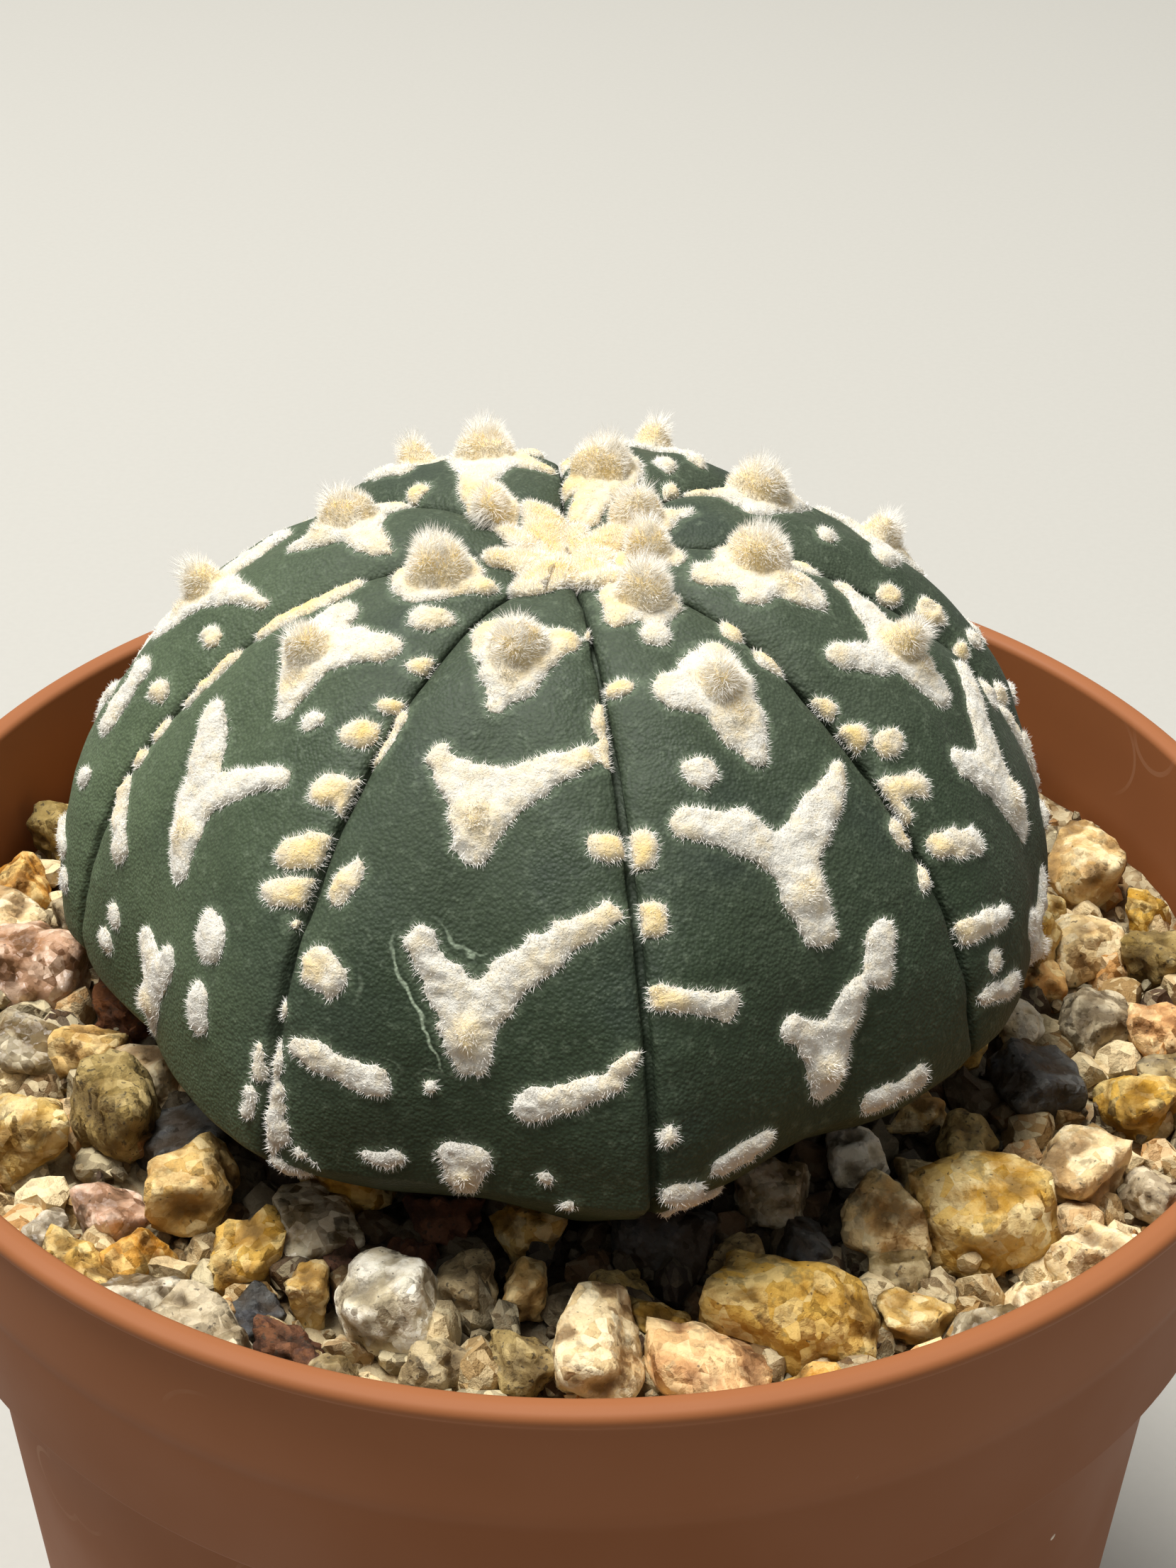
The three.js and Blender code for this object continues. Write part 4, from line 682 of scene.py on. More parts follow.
def mineral(kind):
    """A stone's material from its row in MINERALS. Every stone has its own tone, its hollows hold more stain,
    and painted shade darkens its hollows."""
    name, face, crystal, stain, glassy, rough, mica, glow, _ = MINERALS[kind]
    rock = Finish(name, face)
    hollow, tone = rock.attribute("hollow"), rock.attribute("tone")
    facets, draws = crystal_facets(rock, 1050.0)
    small, _ = crystal_facets(rock, 2600.0)
    rock.coat(rock.ramp(draws[0], 0.1, 1.0, 0.1, 0.85), crystal)
    # Glassy grains lie in clusters about 2 mm wide.
    rock.coat(rock.ramp(rock.noise(420.0, 4.0, 0.7), 0.55, 0.66, 0, 0.75), glassy)
    # Iron creeps in from the hollows in clouds about 3 mm wide.
    damp = rock.math("MULTIPLY_ADD", hollow, 0.3, rock.noise(260.0, 6.0, 0.7, 0.6))
    rock.coat(rock.ramp(damp, 0.52, 0.78, 0, 0.75), stain)
    # Dark mica flakes a quarter of a millimetre wide.
    rock.coat(rock.ramp(rock.noise(2600.0, 1.0), 0.74 - mica, 0.78 - mica, 0, 0.7), "#40382d")
    rock.colour = rock.add("ShaderNodeHueSaturation", None, {
        "Saturation": rock.ramp(tone, 0, 1, 1.15, 0.85), "Value": rock.ramp(tone, 0, 1, 0.88, 1.15),
        "Color": rock.colour}).outputs[0]
    # Painted shade: the hollows are darkened towards dark brown.
    rock.coat(rock.ramp(hollow, 0.35, 1.0, 0, 0.55), "#3a2a18")
    relief = rock.math("MULTIPLY_ADD", small, 0.8, facets)
    rock.bump(1.0, 1.0, rock.math("MULTIPLY_ADD", rock.noise(2600.0, 5.0, 0.7), 0.00022 * rough, relief))
    sockets = {"Specular IOR Level": 0.5 if rough < 0.5 else 0.3}
    if glow:
        sockets.update({"Subsurface Weight": glow, "Subsurface Radius": (0.0012, 0.001, 0.0008),
                        "Subsurface Scale": 1.0})
    return rock.done(rock.ramp(draws[1], 0, 1, rough - 0.15, min(rough + 0.1, 1)), sockets)


def mixed_fines(name, gap_shade):
    """The small stuff between the stones: chips of every mineral, told apart by their tone."""
    chips = Finish(name, "#4a3522")
    tone = chips.attribute("tone")
    for low, high, code in ((0, 0.3, "#96743f"), (0.3, 0.55, "#e2cb9c"), (0.62, 0.72, "#c08a48"),
                            (0.78, 0.9, "#8f8264")):
        chips.coat(chips.ramp(tone, low, high), code)
    facets, draws = crystal_facets(chips, 1400.0)
    chips.coat(chips.ramp(draws[0], 0.3, 0.9, 0, 0.5), "#ecdcb0")
    cloud = chips.noise(420.0, 6.0, 0.7)
    chips.coat(chips.ramp(cloud, 0.52, 0.72, 0, 0.6), "#8c6833")
    # Painted shade: a share of near black stands for the shade in the gaps where these fines lie.
    chips.coat(gap_shade, "#1d130c")
    # Painted shade: the fines darken nearly to black under the plant's overhang.
    away = chips.vector("SUBTRACT", chips.place, (PLANT_X * MM, PLANT_Y * MM, 0))
    reach = chips.vector("LENGTH", chips.vector("MULTIPLY", away, (1, 1, 0)))
    chips.coat(chips.ramp(reach, 0.031, 0.037, 0.85, 0), "#150e09")
    chips.bump(1.0, 1.0, chips.math("MULTIPLY_ADD", cloud, 0.0006, facets))
    return chips.done(0.75)


def cactus_skin(plant):
    """Living cactus skin, grown: a leathery grey-green with a thin wax, pebbled by its cells and
    dusted with minute pale scales."""
    skin = Finish("grown_cactus_skin", plant.skin_dark)
    gap, near = skin.attribute("gap"), skin.attribute("felt_near")
    clouds = skin.noise(110.0, 5.0, 0.6)
    height = skin.ramp(skin.attribute("down"), 8, 42, 1, 0)
    light = skin.math("ADD", skin.ramp(clouds, 0.3, 0.7, -0.35, 0.35), height, clamp=True)
    skin.coat(light, plant.skin_light)
    # Darker, bluer patches about a centimetre wide.
    skin.coat(skin.ramp(skin.noise(75.0, 4.0), 0.5, 0.68, 0, 0.5), "#232e29")
    # Painted light: the plant's left side, towards -X, is paler in soft clouds.
    painted_light_side = skin.ramp(skin.part(skin.place, 0), -0.008, -0.034, 0, 0.85)
    skin.coat(skin.math("MULTIPLY", painted_light_side, skin.ramp(clouds, 0.25, 0.6, 0.5, 1)), "#5b6a4d")
    # Painted shade darkens the grooves.
    skin.coat(skin.ramp(gap, 0.1, 1.1, 0.45, 0), "#2a3226")
    # Skin that has just parted from the felt is paler for a fraction of a millimetre.
    skin.coat(skin.ramp(near, 0.1, 0.6, 0.3, 0), "#76856b")
    # One mark has shrunk, and its old outline stands off it as a pale line.
    line = skin.math("MULTIPLY", skin.ramp(near, 0.62, 0.74), skin.ramp(near, 0.78, 0.9, 1, 0))
    skin.coat(skin.math("MULTIPLY", line, skin.attribute("scar")), "#9aa890")
    # The skin's cells rise as pebbles a fifth of a millimetre wide, darker in the seams between.
    pebbles = skin.cells(4600.0, {"feature": "SMOOTH_F1"}, {"Smoothness": 0.6})["Distance"]
    skin.coat(skin.ramp(pebbles, 0.3, 0.75, 0, 0.3), "#1c241b")
    wrinkles = skin.noise(1500.0, 4.0, 0.65)
    skin.coat(skin.ramp(wrinkles, 0.52, 0.75, 0, 0.2), "#8b9880")
    skin.bump(0.8, 0.0001, skin.math("MULTIPLY_ADD", pebbles, -0.8, wrinkles))
    return skin.done(skin.ramp(clouds, 0.3, 0.7, 0.58, 0.74), {"Specular IOR Level": 0.3})


def plant_felt(felt):
    """Plant felt: short matted hairs, bright white when clean and honey-gold where they age. It
    is quite matt, and its fibres catch a soft sheen."""
    cloth = Finish("matted_plant_felt", felt.white)
    clumps = cloth.noise(900.0, 5.0, 0.7)
    mottle = cloth.ramp(clumps, 0.3, 0.7, -0.22, 0.22)
    cloth.coat(cloth.math("ADD", mottle, cloth.attribute("tint"), clamp=True), felt.gold)
    # Painted shade: hollows between the clumps of hair, about a third of a millimetre wide, are coloured
    # darker.
    fibres = cloth.noise(3500.0, 4.0, 0.7)
    cloth.coat(cloth.ramp(fibres, 0.3, 0.48, 0.25, 0), "#d2b477")
    cloth.bump(0.9, 0.0002, cloth.math("MULTIPLY_ADD", clumps, 1.2, fibres))
    return cloth.done(1.0, {"Specular IOR Level": 0.1, "Sheen Weight": 0.25, "Sheen Roughness": 0.6})


def areole_wool():
    """Areole wool, grown: fine dry hairs, golden at their roots and white at their tips, with a
    faint silky sheen."""
    wool = Finish("grown_areole_wool", "#fffcf4")
    root = wool.ramp(wool.attribute("along"), -0.45, 0.22, 1.0, 0.05)
    wool.coat(wool.math("MULTIPLY", wool.attribute("tint"), root, clamp=True), "#f5cf82")
    return wool.done(0.8, {"Specular IOR Level": 0.2, "Sheen Weight": 0.7, "Sheen Roughness": 0.5})


def pale_board(stage):
    """Matt pale board with a faint fibre."""
    board = Finish("matt_pale_board", stage.floor)
    board.coat(board.ramp(board.noise(900.0, 3.0), 0.3, 0.7, 0, 0.3), [c * 0.94 for c in stage.floor])
    return board.done(0.9, {"Specular IOR Level": 0.1})


# Node trees that make geometry.

def turned_wall_tree():
    """Turns a ribbon of profile points about the Z axis: each point keeps its radius and height."""
    lathe = Maker("turned wall")
    turned = lathe.add("ShaderNodeVectorRotate", {"rotation_type": "Z_AXIS"},
                       {"Vector": lathe.position(), "Angle": lathe.attribute("turn")}).outputs[0]
    moved = lathe.step("SetPosition", lathe.given["Geometry"], {"Position": turned})
    joined = lathe.step("MergeByDistance", moved, {"Distance": MERGE})
    return lathe.done(lathe.step("RealizeInstances", joined))


def scatter_tree():
    """Strews small stones over a surface: seeded places, random turns and sizes, lumpy faces."""
    hand = Maker("strewn grit", Spacing=0.0025, Density=200000.0, Size=0.0036, Roundness=0.0003, Lift=0.0,
                 Faces=2, Seed=1)
    given = hand.given
    spread = hand.step("DistributePointsOnFaces", given["Geometry"], {
        "Distance Min": given["Spacing"], "Density Max": given["Density"],
        "Density Factor": hand.attribute("room"), "Seed": given["Seed"]}, {"distribute_method": "POISSON"})
    base = hand.add("ShaderNodeCombineXYZ", None, {2: given["Lift"]}).outputs[0]
    offset = hand.vector("ADD", base, hand.draw((0, 0, -0.0006), (0, 0, 0.0006), 5))
    settled = hand.step("SetPosition", spread, {"Offset": offset})
    chip = hand.add("GeometryNodeMeshIcoSphere", None, {"Radius": 0.5, "Subdivisions": given["Faces"]})
    turn = hand.draw((0, 0, 0), (6.28, 6.28, 6.28), 6)
    spin = hand.add("FunctionNodeEulerToRotation", None, {0: turn}).outputs[0]
    width = hand.vector("MULTIPLY", hand.draw((0.7, 0.6, 0.55), (1.25, 1.15, 1.0), 8), given["Size"])
    strewn = hand.step("InstanceOnPoints", settled,
                       {"Instance": chip.outputs["Mesh"], "Rotation": spin, "Scale": width})
    plain = hand.step("RealizeInstances", hand.keep(strewn, "tone", hand.draw(0.0, 1.0, 9), "INSTANCE"))
    lumps = hand.add("ShaderNodeTexNoise", None, {"Scale": 520.0, "Detail": 2.0, "Roughness": 0.6})
    push = hand.vector("SUBTRACT", lumps.outputs["Color"], (0.5, 0.5, 0.5))
    push = hand.vector("MULTIPLY", push, given["Roundness"])
    return hand.done(hand.step("SetPosition", plain, {"Offset": push}))


def hair_tree():
    """Grows hairs from a surface: each is a closed three-sided spike along the surface's normal,
    bent away at random. Density and length come from the surface's attributes."""
    coat = Maker("grown hair", Density=1.0, Length=0.001, Width=0.00008, Tilt=0.5, Seed=1)
    given = coat.given
    density = coat.math("MULTIPLY", coat.attribute("hair_density"), given["Density"])
    spread = coat.add("GeometryNodeDistributePointsOnFaces", {"distribute_method": "RANDOM"}, {
        "Mesh": given["Geometry"], "Density": density, "Seed": given["Seed"]}).outputs
    spike = coat.add("GeometryNodeMeshCone", {"fill_type": "NGON"}, {
        "Vertices": 3, "Side Segments": 1, "Fill Segments": 1, "Radius Top": 0.0,
        "Radius Bottom": given["Width"], "Depth": 1.0}).outputs["Mesh"]
    marked = coat.keep(spike, "along", coat.part(coat.position(), 2), "POINT")
    # Hairs in one lock about a millimetre wide lean the same way, and each strays a little.
    lock = coat.add("ShaderNodeTexNoise", None, {"Scale": 800.0, "Detail": 1.0}).outputs["Color"]
    locked = coat.vector("MULTIPLY_ADD", lock, (5, 5, 0), (-2.5, -2.5, 0))
    bend = coat.vector("ADD", locked, coat.draw((-0.6, -0.6, -3.1), (0.6, 0.6, 3.1), 2))
    lean = coat.add("FunctionNodeEulerToRotation", None, {0: coat.vector("MULTIPLY", bend, given["Tilt"])})
    turned = coat.add("FunctionNodeRotateRotation", {"rotation_space": "LOCAL"},
                      {0: spread["Rotation"], 1: lean.outputs[0]}).outputs[0]
    length = coat.math("MULTIPLY", coat.attribute("hair_length"), coat.draw(0.55, 1.15, 4))
    length = coat.math("MULTIPLY", length, given["Length"])
    stretch = coat.add("ShaderNodeCombineXYZ", None, {0: 1.0, 1: 1.0, 2: length}).outputs[0]
    grown = coat.step("InstanceOnPoints", spread["Points"],
                      {"Instance": marked, "Rotation": turned, "Scale": stretch})
    return coat.done(coat.step("RealizeInstances", grown))


# Pot.

def turn_profile(name, profile, segments, material):
    """A closed turned piece from (radius, height) points in millimetres."""
    count = len(profile)
    points = np.zeros((segments + 1, count, 3))
    points[:, :, [0, 2]] = profile
    faces = [(low + p, low + count + p, low + count + p + 1, low + p + 1)
             for low in range(0, segments * count, count) for p in range(count - 1)]
    turns = np.repeat(np.linspace(0, 2 * np.pi, segments + 1), count)
    piece = make_piece(name, points.reshape(-1, 3), faces, material, {"turn": turns})
    bake_nodes(piece, turned_wall_tree(), {"Material": material})
    with reworked(piece) as work:
        bmesh.ops.remove_doubles(work, verts=work.verts, dist=MERGE)
        bmesh.ops.dissolve_degenerate(work, edges=work.edges, dist=MERGE / 2)
        bmesh.ops.recalc_face_normals(work, faces=work.faces)
    return piece


def arc(centre_radius, centre_height, size, start, end, steps):
    """Points on an arc in the profile, in degrees from outwards."""
    angles = np.radians(np.linspace(start, end, steps))
    return [(centre_radius + size * math.cos(a), centre_height + size * math.sin(a)) for a in angles]


def inner_radius(height):
    """Radius of the pot's inner face at a height."""
    step = POT_HEIGHT - COLLAR
    height = np.asarray(height, float)
    body = FOOT + (BODY_TOP - FOOT) * np.clip(height / step, 0, 1) - WALL
    collar = 47.4 + (48.2 - 47.4) * (height - step) / COLLAR
    return np.where(height < step + 1, body, collar)


class STARCACTUS_OT_mould_pot(bpy.types.Operator):
    """Turns the pot's wall with its lip, collar and foot, and drills its drain holes"""
    bl_idname = "starcactus.mould_pot"
    bl_label = "Mould the pot"

    def execute(self, context):
        pot = context.scene.star_pot
        lip, bead, wall = pot.lip_radius / MM, pot.lip_width / MM / 2, pot.wall / MM
        foot, step, top = pot.foot_radius / MM, POT_HEIGHT - pot.collar_height / MM, POT_HEIGHT
        collar, edge = lip - 0.7, 0.62 * bead
        profile = [
            (0, 2), (foot - 6, 2), (foot - 5.6, 1.8), (foot - 5.2, 0.4), (foot - 4.9, 0.05), (foot - 4.4, 0),
            *arc(foot - 0.8, 0.8, 0.8, -90, 0, 6),
            *((foot + (BODY_TOP - foot) * s, 0.8 + (step - 0.8) * s) for s in (0.25, 0.5, 0.75, 0.985)),
            (BODY_TOP, step - 0.5), (45.75, step - 0.1), (46.1, step), (47.9, step),
            *arc(48.1, step + 0.5, 0.5, -90, -5, 5),
            # The collar has a faint moulded step half way up.
            (48.86, step + 8.6), (48.9, step + 9.2), (49.0, step + 9.5), (49.04, step + 10.2),
            (collar - 0.02, top - 2.6), (collar - 0.12, top - 1.9), (collar - 0.08, top - 1.62),
            # The lip is a bead with a gently crowned top.
            *arc(lip - edge, top - 0.05 - edge, edge, -60, 78, 12),
            (lip - bead * 0.85, top - 0.01), (lip - bead, top), (lip - bead * 1.15, top - 0.01),
            *arc(lip - 2 * bead + edge, top - 0.06 - edge, edge, 102, 180, 8),
            (48.15, 82), (47.9, 76), (47.6, step + 3), (47.42, step + 1.6), (46.9, step + 1.1),
            (44.7, step + 0.9), (BODY_TOP - wall, step + 0.2),
            *((foot - wall + (BODY_TOP - foot) * s, 4.4 + (step - 4.4) * s) for s in (0.66, 0.33, 0)),
            (foot - wall - 0.25, 3.85), (foot - wall - 0.8, 3.6), (0, 3.6)]
        piece = turn_profile("pot_wall", profile, pot.segments, moulded_polypropylene(pot))
        cutter = bpy.data.objects.new("drills", bpy.data.meshes.new("drills"))
        with reworked(cutter) as drills:
            for index in range(7):
                # Six holes lie in a ring, and one in the middle.
                reach = 0 if index == 6 else HOLE_RING * MM
                angle = math.radians(30 + 60 * index)
                place = Matrix.Translation((reach * math.cos(angle), reach * math.sin(angle), 0.003))
                bmesh.ops.create_cone(drills, cap_ends=True, segments=40, radius1=HOLE_RADIUS * MM,
                                      radius2=HOLE_RADIUS * MM, depth=0.012, matrix=place)
        context.scene.collection.objects.link(cutter)
        cut = piece.modifiers.new("drain holes", "BOOLEAN")
        cut.object, cut.operation, cut.solver = cutter, "DIFFERENCE", "EXACT"
        mesh = evaluated_mesh(piece)
        bpy.data.objects.remove(cutter)
        if len(mesh.polygons) < 1000:
            raise RuntimeError("the pot lost its wall when its holes were drilled")
        shade_smooth(mesh, 38)
        finish_piece(piece, "pot")
        return {"FINISHED"}


class STARCACTUS_OT_fill_compost(bpy.types.Operator):
    """Fills the pot with compost up to the grit, with room for the root"""
    bl_idname = "starcactus.fill_compost"
    bl_label = "Fill the compost"

    def execute(self, context):
        step = POT_HEIGHT - COLLAR
        heights = np.linspace(60, 6, 10)
        profile = [
            (0, 33.6), (1.4, 35.0), (2.4, 38), (6.4, 54), (9.5, 64), (13, 66.5), (16, 67), (20, 69.6),
            (23.5, SOIL_TOP - 0.6), *((r, SOIL_TOP) for r in np.linspace(25, 45.8, 22)),
            (46.6, SOIL_TOP - 0.4), (46.8, step + 2), (44.1, step + 0.4),
            *zip(inner_radius(heights) - 0.45, heights),
            (40.2, 4.2), (39.6, 3.95), (30, 3.95), (15, 3.95), (0, 3.95)]
        piece = turn_profile("compost_fill", profile, 160, cactus_compost(context.scene.star_grit))

        def crumble(points):
            lift = 0.35 * lump_noise(points, 1.6, 31) + 0.2 * lump_noise(points, 0.8, 32)
            top = (points[:, 2] > SOIL_TOP - 1) & (np.hypot(points[:, 0], points[:, 1]) < 46.2)
            points[:, 2] += np.where(top, lift - 0.3, 0)
            return points

        move_points(piece, crumble)
        finish_piece(piece, "soil")
        return {"FINISHED"}


# Grit.

def repeat_draw(seed):
    """Repeatable draws between 0 and 1."""
    state = seed
    while True:
        state = (state * 1664525 + 1013904223) % 4294967296
        yield state / 4294967296


def scattered_stones():
    """The ring stones that find room between the placed ones, each with its tilt."""
    draw = repeat_draw(STONE_SEED)
    for _ in range(12 * len(PLACED_STONES)):
        next(draw)
    stones = []
    for radius, count in STONE_RINGS:
        for index in range(count):
            bearing = (index + 0.7 * next(draw)) / count * 2 * math.pi
            reach = radius + 1.6 * (next(draw) - 0.5)
            width = 4.8 + 3.4 * next(draw) ** 1.6
            depth = width * (0.75 + 0.35 * next(draw))
            height = width * (0.65 + 0.3 * next(draw))
            turn = 180 * next(draw)
            x, y = reach * math.cos(bearing), reach * math.sin(bearing)
            if all(math.hypot(s[1] - x, s[2] - y) >= 0.25 * width + 0.22 * (s[3] + s[4])
                   for s in PLACED_STONES):
                stones.append([x, y, width, depth, height, turn])
    for stone in stones:
        stone.append(50 * (next(draw) - 0.5))
        for _ in range(8):
            next(draw)
    return stones


def plant_room():
    """A table of the plant's radius under its waist, by bearing and by height over the pot's foot."""
    heights = np.linspace(POT_HEIGHT - 20, POT_HEIGHT + 1, 64)
    ways = np.linspace(0.9, 1.9, 90)
    waist = 20
    bearings, rows = [], []
    for rib in range(8):
        for side in np.linspace(-1, 0.9, 20):
            line = skin_at(rib, side, ways) - [PLANT_X, PLANT_Y, -POT_HEIGHT]
            bearings.append(math.atan2(line[waist, 1], line[waist, 0]))
            line = line[np.argsort(line[:, 2])]
            rows.append(np.interp(heights, line[:, 2], np.hypot(line[:, 0], line[:, 1])))
    order = np.argsort(bearings)
    return np.array(bearings)[order], heights, np.array(rows)[order]


ROOM = plant_room()


def plant_radius(points):
    """The plant's radius at each point's bearing and height."""
    bearings, heights, rows = ROOM
    bearing = np.arctan2(points[:, 1] - PLANT_Y, points[:, 0] - PLANT_X)
    column = np.clip((points[:, 2] - heights[0]) / (heights[1] - heights[0]), 0, len(heights) - 1.001)
    low = column.astype(int)
    share = column - low
    place = np.interp(bearing, bearings, np.arange(len(bearings)), period=2 * np.pi)
    row = np.clip(np.round(place).astype(int), 0, len(bearings) - 1)
    return rows[row, low] * (1 - share) + rows[row, low + 1] * share


def keep_in_bed(points, gap):
    """Keeps points clear of the plant's underside and inside the pot's wall."""
    away = points[:, :2] - [PLANT_X, PLANT_Y]
    reach = np.maximum(np.linalg.norm(away, axis=1), 1e-6)
    least = plant_radius(points) + gap
    push = np.where(reach < least, least / reach, 1)
    points[:, :2] = away * push[:, None] + [PLANT_X, PLANT_Y]
    reach = np.linalg.norm(points[:, :2], axis=1)
    most = inner_radius(points[:, 2]) - 0.35
    points[:, :2] *= np.where(reach > most, most / reach, 1)[:, None]
    return points


def ball(divisions):
    """Unit directions and faces of an even ball."""
    work = bmesh.new()
    bmesh.ops.create_icosphere(work, subdivisions=divisions, radius=1)
    points = np.array([v.co[:] for v in work.verts])
    faces = np.array([[v.index for v in f.verts] for f in work.faces])
    work.free()
    return points / np.linalg.norm(points, axis=1, keepdims=True), faces


def stone_points(kind, directions, size, turn, tilt, centre, draw, seed):
    """One stone: flat breaks met by worn edges, then its own roughness."""
    planes, sharpness, rough = MINERALS[kind][-1]
    normals = draw.normal(size=(planes, 3))
    normals /= np.linalg.norm(normals, axis=1, keepdims=True)
    normals = np.concatenate([normals, np.eye(3), -np.eye(3)])
    offsets = np.concatenate([draw.uniform(0.74, 0.97, planes), draw.uniform(0.92, 1.04, 6)])
    facing = np.maximum(directions @ normals.T, 0) / offsets
    reach = (facing ** sharpness).sum(1) ** (-1 / sharpness)
    points = directions * reach[:, None] * np.array(size) / 2
    lumps = 0.07 * min(size) * lump_noise(points + seed * 7.3, 0.3 * min(size), seed)
    chips = -np.abs(lump_noise(points + seed * 3.1, 1.3, seed + 1)) * 1.5
    lumps += rough * (chips + lump_noise(points, 0.7, seed + 2) + 0.6 * lump_noise(points, 0.36, seed + 3))
    points = points + directions * lumps[:, None]
    lean, spin = math.radians(tilt), math.radians(turn)
    turned = np.array(Matrix.Rotation(spin, 3, "Z") @ Matrix.Rotation(lean, 3, "X"))
    return points @ turned.T + centre, np.clip(0.3 - lumps / (3.2 * rough), 0, 1)


def bed_surface(name, material, closed):
    """The lumpy top of the bed from the plant's underside to the wall, closed below if asked."""
    count, rings = 220, 34
    bearing = np.linspace(-np.pi, np.pi, count, endpoint=False)
    outward = np.stack([np.cos(bearing), np.sin(bearing)], 1)
    level = np.full((count, 1), BED_TOP - 0.5)
    inner = plant_radius(np.hstack([outward + [PLANT_X, PLANT_Y], level])) + 0.25
    inside = inner[:, None] * outward + [PLANT_X, PLANT_Y]
    rows, room = [], []
    for share in np.arange(rings) / (rings - 1):
        flat = inside * (1 - share) + 47.2 * outward * share
        place = np.hstack([flat, level])
        place[:, 2] += 0.5 * lump_noise(place, 2.6, 41) + 0.25 * lump_noise(place, 1.1, 42)
        rows.append(place)
        clear = np.hypot(flat[:, 0] - PLANT_X, flat[:, 1] - PLANT_Y) - inner
        room.append(np.clip((clear - 2.4) / 1.2, 0, 1) * (np.hypot(flat[:, 0], flat[:, 1]) < 46))
    if closed:
        for row in (rows[-1], rows[0]):
            rows.append(np.column_stack([row[:, :2], np.full(count, SOIL_TOP + 0.35)]))
        rows.append(rows[0])
        room += [np.zeros(count)] * 3
    points = np.concatenate(rows)
    piece = make_piece(name, points, ring_faces(len(rows), count), material,
                       {"room": np.concatenate(room), "tone": 0.5 + 0.5 * lump_noise(points, 1.4, 43)})
    with reworked(piece) as work:
        bmesh.ops.remove_doubles(work, verts=work.verts, dist=MERGE / 2)
        bmesh.ops.recalc_face_normals(work, faces=work.faces)
        if not closed and sum(f.normal.z for f in work.faces) < 0:
            bmesh.ops.reverse_faces(work, faces=work.faces)
    return piece


class STARCACTUS_OT_lay_stones(bpy.types.Operator):
    """Lays the placed and scattered stones, one piece for each mineral"""
    bl_idname = "starcactus.lay_stones"
    bl_label = "Lay the stones"

    def execute(self, context):
        stones = [(*stone, 0.0) for stone in PLACED_STONES]
        stones += [(SCATTER_KINDS[i % len(SCATTER_KINDS)], *s) for i, s in enumerate(scattered_stones())]
        directions, faces = ball(4)
        heaps = {}
        for index, (kind, x, y, *sides, turn, tilt) in enumerate(stones):
            draw = np.random.default_rng(900 + index)
            centre = np.array([x, y, BED_TOP + 0.3 * sides[2]])
            points, hollow = stone_points(kind, directions, sides, turn, tilt, centre, draw, index)
            points = keep_in_bed(points, 0.3)
            if index == HOLED_PEBBLE:
                # This pebble has a small hole in its face.
                away = np.linalg.norm(points - (centre + [0.1, -1.5, 1.5]), axis=1)
                points -= np.array([0, -0.6, 0.6]) * (0.9 * np.exp(-(away / 0.42) ** 2))[:, None]
            heaps.setdefault(kind, []).append((points, np.full(len(points), draw.uniform(0, 1)), hollow))
        for kind, heap in heaps.items():
            points, tones, hollows = (np.concatenate(part) for part in zip(*heap))
            corners = np.concatenate([faces + len(directions) * i for i in range(len(heap))]).tolist()
            values = {"tone": tones, "hollow": hollows}
            finish_piece(make_piece("grit_" + kind, points, corners, mineral(kind), values), "gravel")
        return {"FINISHED"}


class STARCACTUS_OT_strew_fines(bpy.types.Operator):
    """Strews the filler stones and crumbs over the bed between the large stones"""
    bl_idname = "starcactus.strew_fines"
    bl_label = "Strew the fines"

    def execute(self, context):
        grit = context.scene.star_grit
        tree = scatter_tree()
        fines = mixed_fines("crushed_mixed_granite_chips", 0.0)
        # The crumbs and the bed take fines darkened by painted shade.
        shaded_fines = mixed_fines("crushed_granite_and_scoria_fines", 0.4)
        strewn = {
            "grit_filler": {"Spacing": grit.fill_spacing, "Density": 300000.0, "Size": grit.fill_size,
                            "Roundness": 0.003, "Lift": 0.0008, "Faces": 2, "Seed": grit.seed,
                            "Material": fines},
            "grit_crumbs": {"Spacing": grit.crumb_size * 0.9, "Density": 900000.0, "Size": grit.crumb_size,
                            "Roundness": 0.0006, "Lift": 0.0006, "Faces": 1, "Seed": grit.seed + 1,
                            "Material": shaded_fines}}
        for name, values in strewn.items():
            piece = bed_surface(name, values["Material"], False)
            bake_nodes(piece, tree, values)
            move_points(piece, lambda points: keep_in_bed(points, 0.2))
            shade_smooth(piece.data, 36)
            finish_piece(piece, "gravel")
        finish_piece(bed_surface("grit_bed", shaded_fines, True), "gravel")
        return {"FINISHED"}


# Plant.

def smooth_least(first, second, blend):
    """The lesser of two distances, with a soft join."""
    share = np.clip(0.5 + 0.5 * (second - first) / blend, 0, 1)
    return second * (1 - share) + first * share - blend * share * (1 - share)


def strip_distance(across, down, strip):
    """Distance to a tapering strip with round ends, below zero inside."""
    x0, y0, r0, x1, y1, r1 = strip
    dx, dy = x1 - x0, y1 - y0
    share = np.clip(((across - x0) * dx + (down - y0) * dy) / max(dx * dx + dy * dy, 1e-9), 0, 1)
    return np.hypot(across - x0 - share * dx, down - y0 - share * dy) - (r0 + (r1 - r0) * share)


